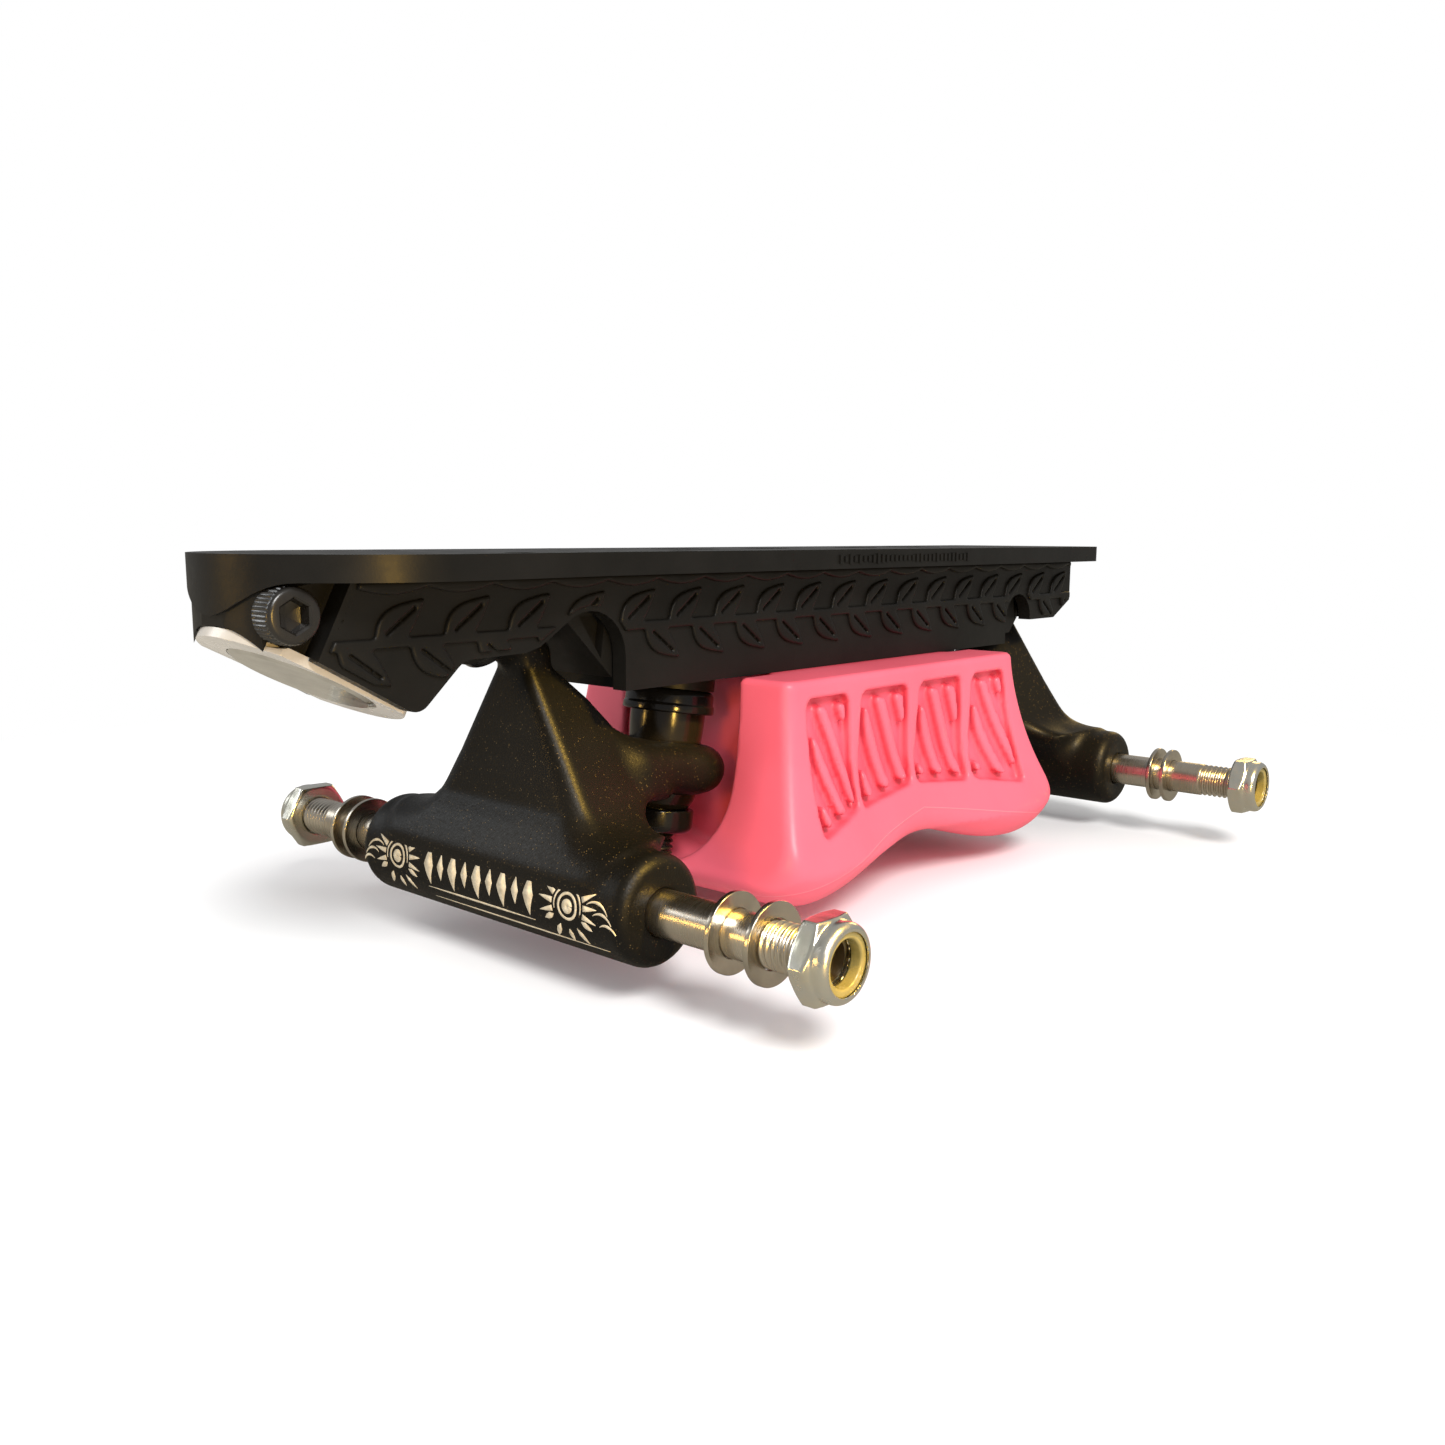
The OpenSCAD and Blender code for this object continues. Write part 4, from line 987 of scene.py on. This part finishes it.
def tick_row(sizes):
    """Geometry nodes: a row of small raised bars of uneven height along Y, with named inputs."""
    tree = bpy.data.node_groups.new("tick row", "GeometryNodeTree")
    tree.interface.new_socket("Geometry", in_out="OUTPUT", socket_type="NodeSocketGeometry")
    named = {}
    for label, value in sizes.items():
        kind = "NodeSocketInt" if isinstance(value, int) else "NodeSocketFloat"
        named[label] = tree.interface.new_socket(label, in_out="INPUT", socket_type=kind).identifier
    given, out, step, size, line, bar, place, uneven, grow, real, paint = (
        tree.nodes.new(kind) for kind in (
            "NodeGroupInput", "NodeGroupOutput", "ShaderNodeCombineXYZ", "ShaderNodeCombineXYZ",
            "GeometryNodeMeshLine", "GeometryNodeMeshCube", "GeometryNodeInstanceOnPoints",
            "FunctionNodeRandomValue", "ShaderNodeCombineXYZ", "GeometryNodeRealizeInstances",
            "GeometryNodeSetMaterial"))
    uneven.inputs[2].default_value, uneven.inputs[3].default_value = LEAST_TICK, 1.0
    grow.inputs[0].default_value = grow.inputs[1].default_value = 1.0
    paint.inputs["Material"].default_value = NYLON
    for start, output, end, entry in (
            (given, "Pitch", step, 1), (given, "Depth", size, 0), (given, "Width", size, 1),
            (given, "Height", size, 2), (given, "Count", line, "Count"),
            (given, "Seed", uneven, "Seed"), (step, 0, line, "Offset"), (size, 0, bar, "Size"),
            (uneven, 1, grow, 2), (line, "Mesh", place, "Points"), (bar, "Mesh", place, "Instance"),
            (grow, 0, place, "Scale"), (place, "Instances", real, "Geometry"),
            (real, "Geometry", paint, "Geometry"), (paint, "Geometry", out, 0)):
        tree.links.new(start.outputs[output], end.inputs[entry])
    return tree, named


def grown(make, sizes):
    """The plain mesh that a geometry node tree gives with these sizes, in millimetres."""
    tree, named = make(sizes)
    holder = in_scene("holder", bpy.data.meshes.new("holder"))
    maker = holder.modifiers.new("maker", "NODES")
    maker.node_group = tree
    for label, value in sizes.items():
        maker[named[label]] = value
    result = plain_mesh(holder)
    points = np.array([v.co for v in result.vertices]) / MM
    faces = [list(f.vertices) for f in result.polygons]
    bpy.data.objects.remove(holder)
    bpy.data.meshes.remove(result)
    return points, faces


tick_points, tick_faces = grown(tick_row, TICKS)
for hand, name in ((1, "right"), (-1, "left")):
    spots = tick_points * np.array([hand, 1, 1]) + (hand * DECK_HALF, TICKS_START, DECK_MID_Z)
    piece("deck_edge_ticks_" + name, plate_place(spots), tick_faces, NYLON, "plate", smooth=False)

# ---------------- etched lines on the barrels

LINE_LIFT = 0.035
LINE_SINK = 0.12
# middle of each sun fan along the barrel, and its height round the barrel's front
FAN_X, FAN_RISE = 24.5, 0.6
PETALS = (207, 238, 270, 302, 333)
LOZENGE_PITCH = 3.6
# height round the front, start, end, number of points, width
LONG_LINES = (5.3, -15.5, 15.5, 30, 0.45), (-3.9, -15.5, 15.5, 30, 0.45), (-6.2, -15, 33, 40, 0.42)


def stroke(path, widths):
    """A thin tapered line wrapped on a barrel, from points (along it, round its front)."""
    path = np.array(path, float)
    widths = np.interp(np.linspace(0, 1, len(path)), np.linspace(0, 1, len(widths)), widths)
    run = np.gradient(path, axis=0)
    run /= np.linalg.norm(run, axis=1, keepdims=True)
    across = np.column_stack([-run[:, 1], run[:, 0]]) * widths[:, None] / 2
    rows = []
    for edge in (path + across, path - across):
        for rise in (LINE_LIFT, -LINE_SINK):
            r, a = BARREL_R + rise, edge[:, 1] / BARREL_R
            rows.append(np.column_stack([edge[:, 0], -r * np.cos(a), r * np.sin(a)]))
    n = len(path)
    faces = [[a * n + i, b * n + i, b * n + i + 1, a * n + i + 1]
             for i in range(n - 1) for a, b in ((0, 1), (1, 3), (3, 2), (2, 0))]
    faces += [[0, n, 3 * n, 2 * n], [n - 1, 2 * n - 1, 4 * n - 1, 3 * n - 1]]
    return np.vstack(rows), faces


def spoke(x, s, degrees, start, stop, steps):
    """Points that run out from (x, s) at an angle, from one distance to another."""
    a = math.radians(degrees)
    return [(x + r * math.cos(a), s + r * math.sin(a)) for r in np.linspace(start, stop, steps)]


def barrel_lines():
    """Two sun fans over petals, a band of lozenges between them and a long line below."""
    points, faces = [], []

    def draw(path, *widths):
        spots, made = stroke(path, widths)
        start = sum(map(len, points))
        points.append(spots)
        faces.extend([i + start for i in face] for face in made)

    for hand in (-1, 1):
        x = hand * FAN_X
        draw(bend(x, FAN_RISE, 2.2, 0, 360, 40), 0.5)
        draw(bend(x, FAN_RISE, 0.65, 0, 360, 20), 1.25)
        draw(bend(x, FAN_RISE, 3.3, -15, 195, 30), 0.2, 0.55, 0.2)
        for degrees in range(-15, 196, 21):
            draw(spoke(x, FAN_RISE, degrees, 3.9, 7.2, 6), 1.05, 0.7, 0.08)
        for k, degrees in enumerate(PETALS):
            draw(spoke(x, 0.4, degrees, 3.9, 6.6 + 0.8 * (k % 2), 10), 0.1, 1.1, 0.9, 0.1)
        for k in range(3):
            wing = bend(x + hand * (6.8 + 1.3 * k), -0.8 - 1.2 * k, 3.4 - 0.5 * k,
                        90 - 62 * hand, 90 + 38 * hand, 14)
            draw(wing, 0.12, 0.55, 0.12)
    for k in range(-4, 5):
        x, tall, wide = LOZENGE_PITCH * k, (3.9, 2.5)[k % 2], (2.7, 1.9)[k % 2]
        draw([(x, 0.7 + t * tall) for t in np.linspace(-1, 1, 13)], 0.05, wide, 0.05)
    for rise, start, stop, steps, width in LONG_LINES:
        draw([(x, rise) for x in np.linspace(start, stop, steps)], 0.1, width, width, 0.1)
    return np.vstack(points), faces


line_points, line_faces = barrel_lines()
for side in SIDES:
    piece(side + "_barrel_lines", truck_place(line_points, side), line_faces, INK, side + "_truck")

# ---------------- toe clamp bolt

CLAMP_HEAD_R = 4.25
CLAMP_HEAD_H = 5.0
CLAMP_SHANK_R = 2.5
CLAMP_HEX = 4.4
KNURLS = 42
KNURL_DEPTH = 0.13
KNURL_TURNS = 252


def knurled_screw(reach):
    """Socket screw along Z with a knurled head from z 0, a hexagonal socket and a plain shank."""
    a = np.linspace(0, 2 * math.pi, KNURL_TURNS, endpoint=False)
    knurl = CLAMP_HEAD_R - 0.08 + KNURL_DEPTH * (1 - np.abs(np.sin(KNURLS / 2 * a)) * 2)
    inside = hexagonal(CLAMP_HEX, KNURL_TURNS)
    return stacked([
        (0, -reach), (CLAMP_SHANK_R - 0.5, -reach), (CLAMP_SHANK_R, 0.5 - reach),
        (CLAMP_SHANK_R, 0), (CLAMP_HEAD_R - 0.35, 0), (CLAMP_HEAD_R - 0.1, 0.25), (knurl, 0.5),
        (knurl, 3.9), (CLAMP_HEAD_R - 0.12, 4.1), (CLAMP_HEAD_R - 0.14, 4.5),
        (CLAMP_HEAD_R - 0.35, 4.85), (CLAMP_HEAD_R - 0.75, CLAMP_HEAD_H),
        (inside + 0.3, CLAMP_HEAD_H), (inside, CLAMP_HEAD_H - 0.3),
        (inside * 0.98, 2.4), (0, 1.9)], KNURL_TURNS)


bolt_low, bolt_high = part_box("toe_clamp_bolt")
bolt_mid = (bolt_low + bolt_high) / 2 / MM
bolt_points, bolt_faces = knurled_screw((bolt_high[0] - bolt_low[0]) / MM - CLAMP_HEAD_H)
bolt_points = along_x(bolt_points)
bolt_points += (bolt_high[0] / MM - CLAMP_HEAD_H, bolt_mid[1], bolt_mid[2])
crisp(piece("toe_clamp_screw", bolt_points, bolt_faces, BOLT_BLACK, "plate",
            replaces=["toe_clamp_bolt"]), 40)
eased("toe_plug_pad", "toe_plug_pad_moulding", 0.3, CREAM)

# ---------------- finishes on the pieces kept as they are

KEPT = {
    "toe_clamp_insert": BRASS,
    "toe_plug_stem": PLUG_METAL,
    "slide_block_bolts": BOLT_BLACK,
    "slide_block_washers": WASHER_STEEL,
    "slide_block_nuts": ZINC,
    "front_pivot_cup": CUP_BLACK,
    "rear_pivot_cup": CUP_BLACK,
}
for name, finish in KEPT.items():
    made = nodes[name]
    if not made.material_slots:
        made.data.materials.append(finish)
    for slot in made.material_slots:
        slot.material = finish

# ---------------- studio

FLOOR_REACH = 6.0
FLOOR_Z = -5 * MM


def look_through():
    """A camera close to the toe's right-hand corner, low and slightly above the deck."""
    lens = bpy.data.cameras.new("camera")
    lens.lens = 30.96
    lens.sensor_width = 36
    lens.clip_start = 0.01
    made = in_scene("camera", lens)
    place = Matrix.Translation((0.17667, -0.20951, 0.07354))
    for degrees, axis in ((41.59, "Z"), (90 - 8.62, "X"), (0.23, "Z")):
        place = place @ Matrix.Rotation(math.radians(degrees), 4, axis)
    made.matrix_world = place
    bpy.context.scene.camera = made


def lamp(name, place, aim, size, power, colour, only=None):
    """A soft round lamp; with a collection given it lights nothing but what is in it."""
    light = bpy.data.lights.new(name, "AREA")
    light.shape = "DISK"
    light.size = size
    light.energy = power
    light.color = colour
    made = in_scene(name, light)
    made.location = place
    made.rotation_euler = (Vector(aim) - Vector(place)).to_track_quat("-Z", "Y").to_euler()
    made.visible_camera = False
    if only:
        made.light_linking.receiver_collection = only


def lit_apart():
    """Groups for the small lamps: the pink block, the pieces round it, and of those the trucks'."""
    pink, dark, trucks = map(bpy.data.collections.new, ("pink block", "dark pieces", "trucks"))
    for made in bpy.context.scene.objects:
        if made.type != "MESH" or made.name == "floor":
            continue
        (pink if made.name == "slide_block_moulding" else dark).objects.link(made)
        if made.name.startswith(("front_", "rear_")):
            trucks.objects.link(made)
    return pink, dark, trucks


def floor():
    """A wide pale floor that keeps the shadow, fades into plain white and is clear from below.

    It lies so low that no axle end reaches it when a truck is steered as far as it goes.
    """
    mesh = bpy.data.meshes.new("floor")
    sides = (-1, -1), (1, -1), (1, 1), (-1, 1)
    corners = [(x * FLOOR_REACH, y * FLOOR_REACH, FLOOR_Z) for x, y in sides]
    mesh.from_pydata(corners, [], [(0, 1, 2, 3)])
    made = in_scene("floor", mesh)
    f = Finish("pale floor").give(Roughness=1.0, IOR=1.02)
    reflected = f.node("ShaderNodeLightPath", "Is Glossy Ray")
    f.colour(f.blend(reflected, (0.96, 0.96, 0.96, 1), (0.34, 0.31, 0.25, 1)))
    far = f.node("ShaderNodeVectorMath", "Value", {0: f.place}, operation="LENGTH")
    seen = f.node("ShaderNodeLightPath", "Is Camera Ray")
    white = f.node("ShaderNodeEmission", 0, {"Color": (1, 1, 1, 1), "Strength": 1.0})
    both = f.node("ShaderNodeMixShader", 0, {
        0: f.sums(f.spread(far, 0.14, 0.34), seen, "MULTIPLY"), 1: f.shader.outputs[0], 2: white})
    back = f.node("ShaderNodeNewGeometry", "Backfacing")
    clear = f.node("ShaderNodeBsdfTransparent", 0)
    below = f.node("ShaderNodeMixShader", 0, {0: back, 1: both, 2: clear})
    f.join(below, f.tree.nodes["Material Output"].inputs["Surface"])
    mesh.materials.append(f.material)


def surroundings():
    """White to look at, and dimmer to the object, which its lamps light."""
    world = bpy.data.worlds.new("studio")
    bpy.context.scene.world = world
    made = Nodes(world)
    reflected = made.node("ShaderNodeLightPath", "Is Glossy Ray")
    plain = made.node("ShaderNodeMapRange", "Result", {
        "Value": reflected, "To Min": 0.75, "To Max": 0.36})
    seen = made.node("ShaderNodeLightPath", "Is Camera Ray")
    back = made.tree.nodes["Background"]
    made.join(made.node("ShaderNodeMix", 0, {0: seen, 2: plain, 3: 1.0}), back.inputs["Strength"])
    back.inputs["Color"].default_value = (1, 1, 1, 1)


look_through()
floor()
surroundings()
PINK_BLOCK, DARK, TRUCKS = lit_apart()
lamp("soft key", (0.78, -0.46, 0.80), (0, -0.01, 0.03), 0.4, 12.5, (1.0, 0.985, 0.97))
lamp("soft left", (-0.7, -0.5, 0.5), (0, 0, 0.03), 0.4, 1.8, (0.95, 0.98, 1.0))
lamp("warm toe", (0.26, -0.60, 0.16), (0.02, -0.05, 0.03), 0.12, 0.9, (1.0, 0.40, 0.03), PINK_BLOCK)
lamp("gold above", (0.22, -0.01, 0.255), (0.012, -0.062, 0.045), 0.04, 2.3,
     (1.0, 0.62, 0.10), TRUCKS)
lamp("gold side", (0.297, -0.175, 0.055), (0.02, -0.06, 0.05), 0.04, 0.5, (1.0, 0.60, 0.12), DARK)
lamp("gold behind", (-0.1, 0.8, 0.3), (0, 0, 0.04), 0.2, 0.7, (1.0, 0.66, 0.2), DARK)
lamp("gold front", (-0.30, -0.55, 0.08), (0, -0.09, 0.04), 0.06, 0.3, (1.0, 0.58, 0.12), DARK)
bpy.context.scene.view_settings.view_transform = "Standard"
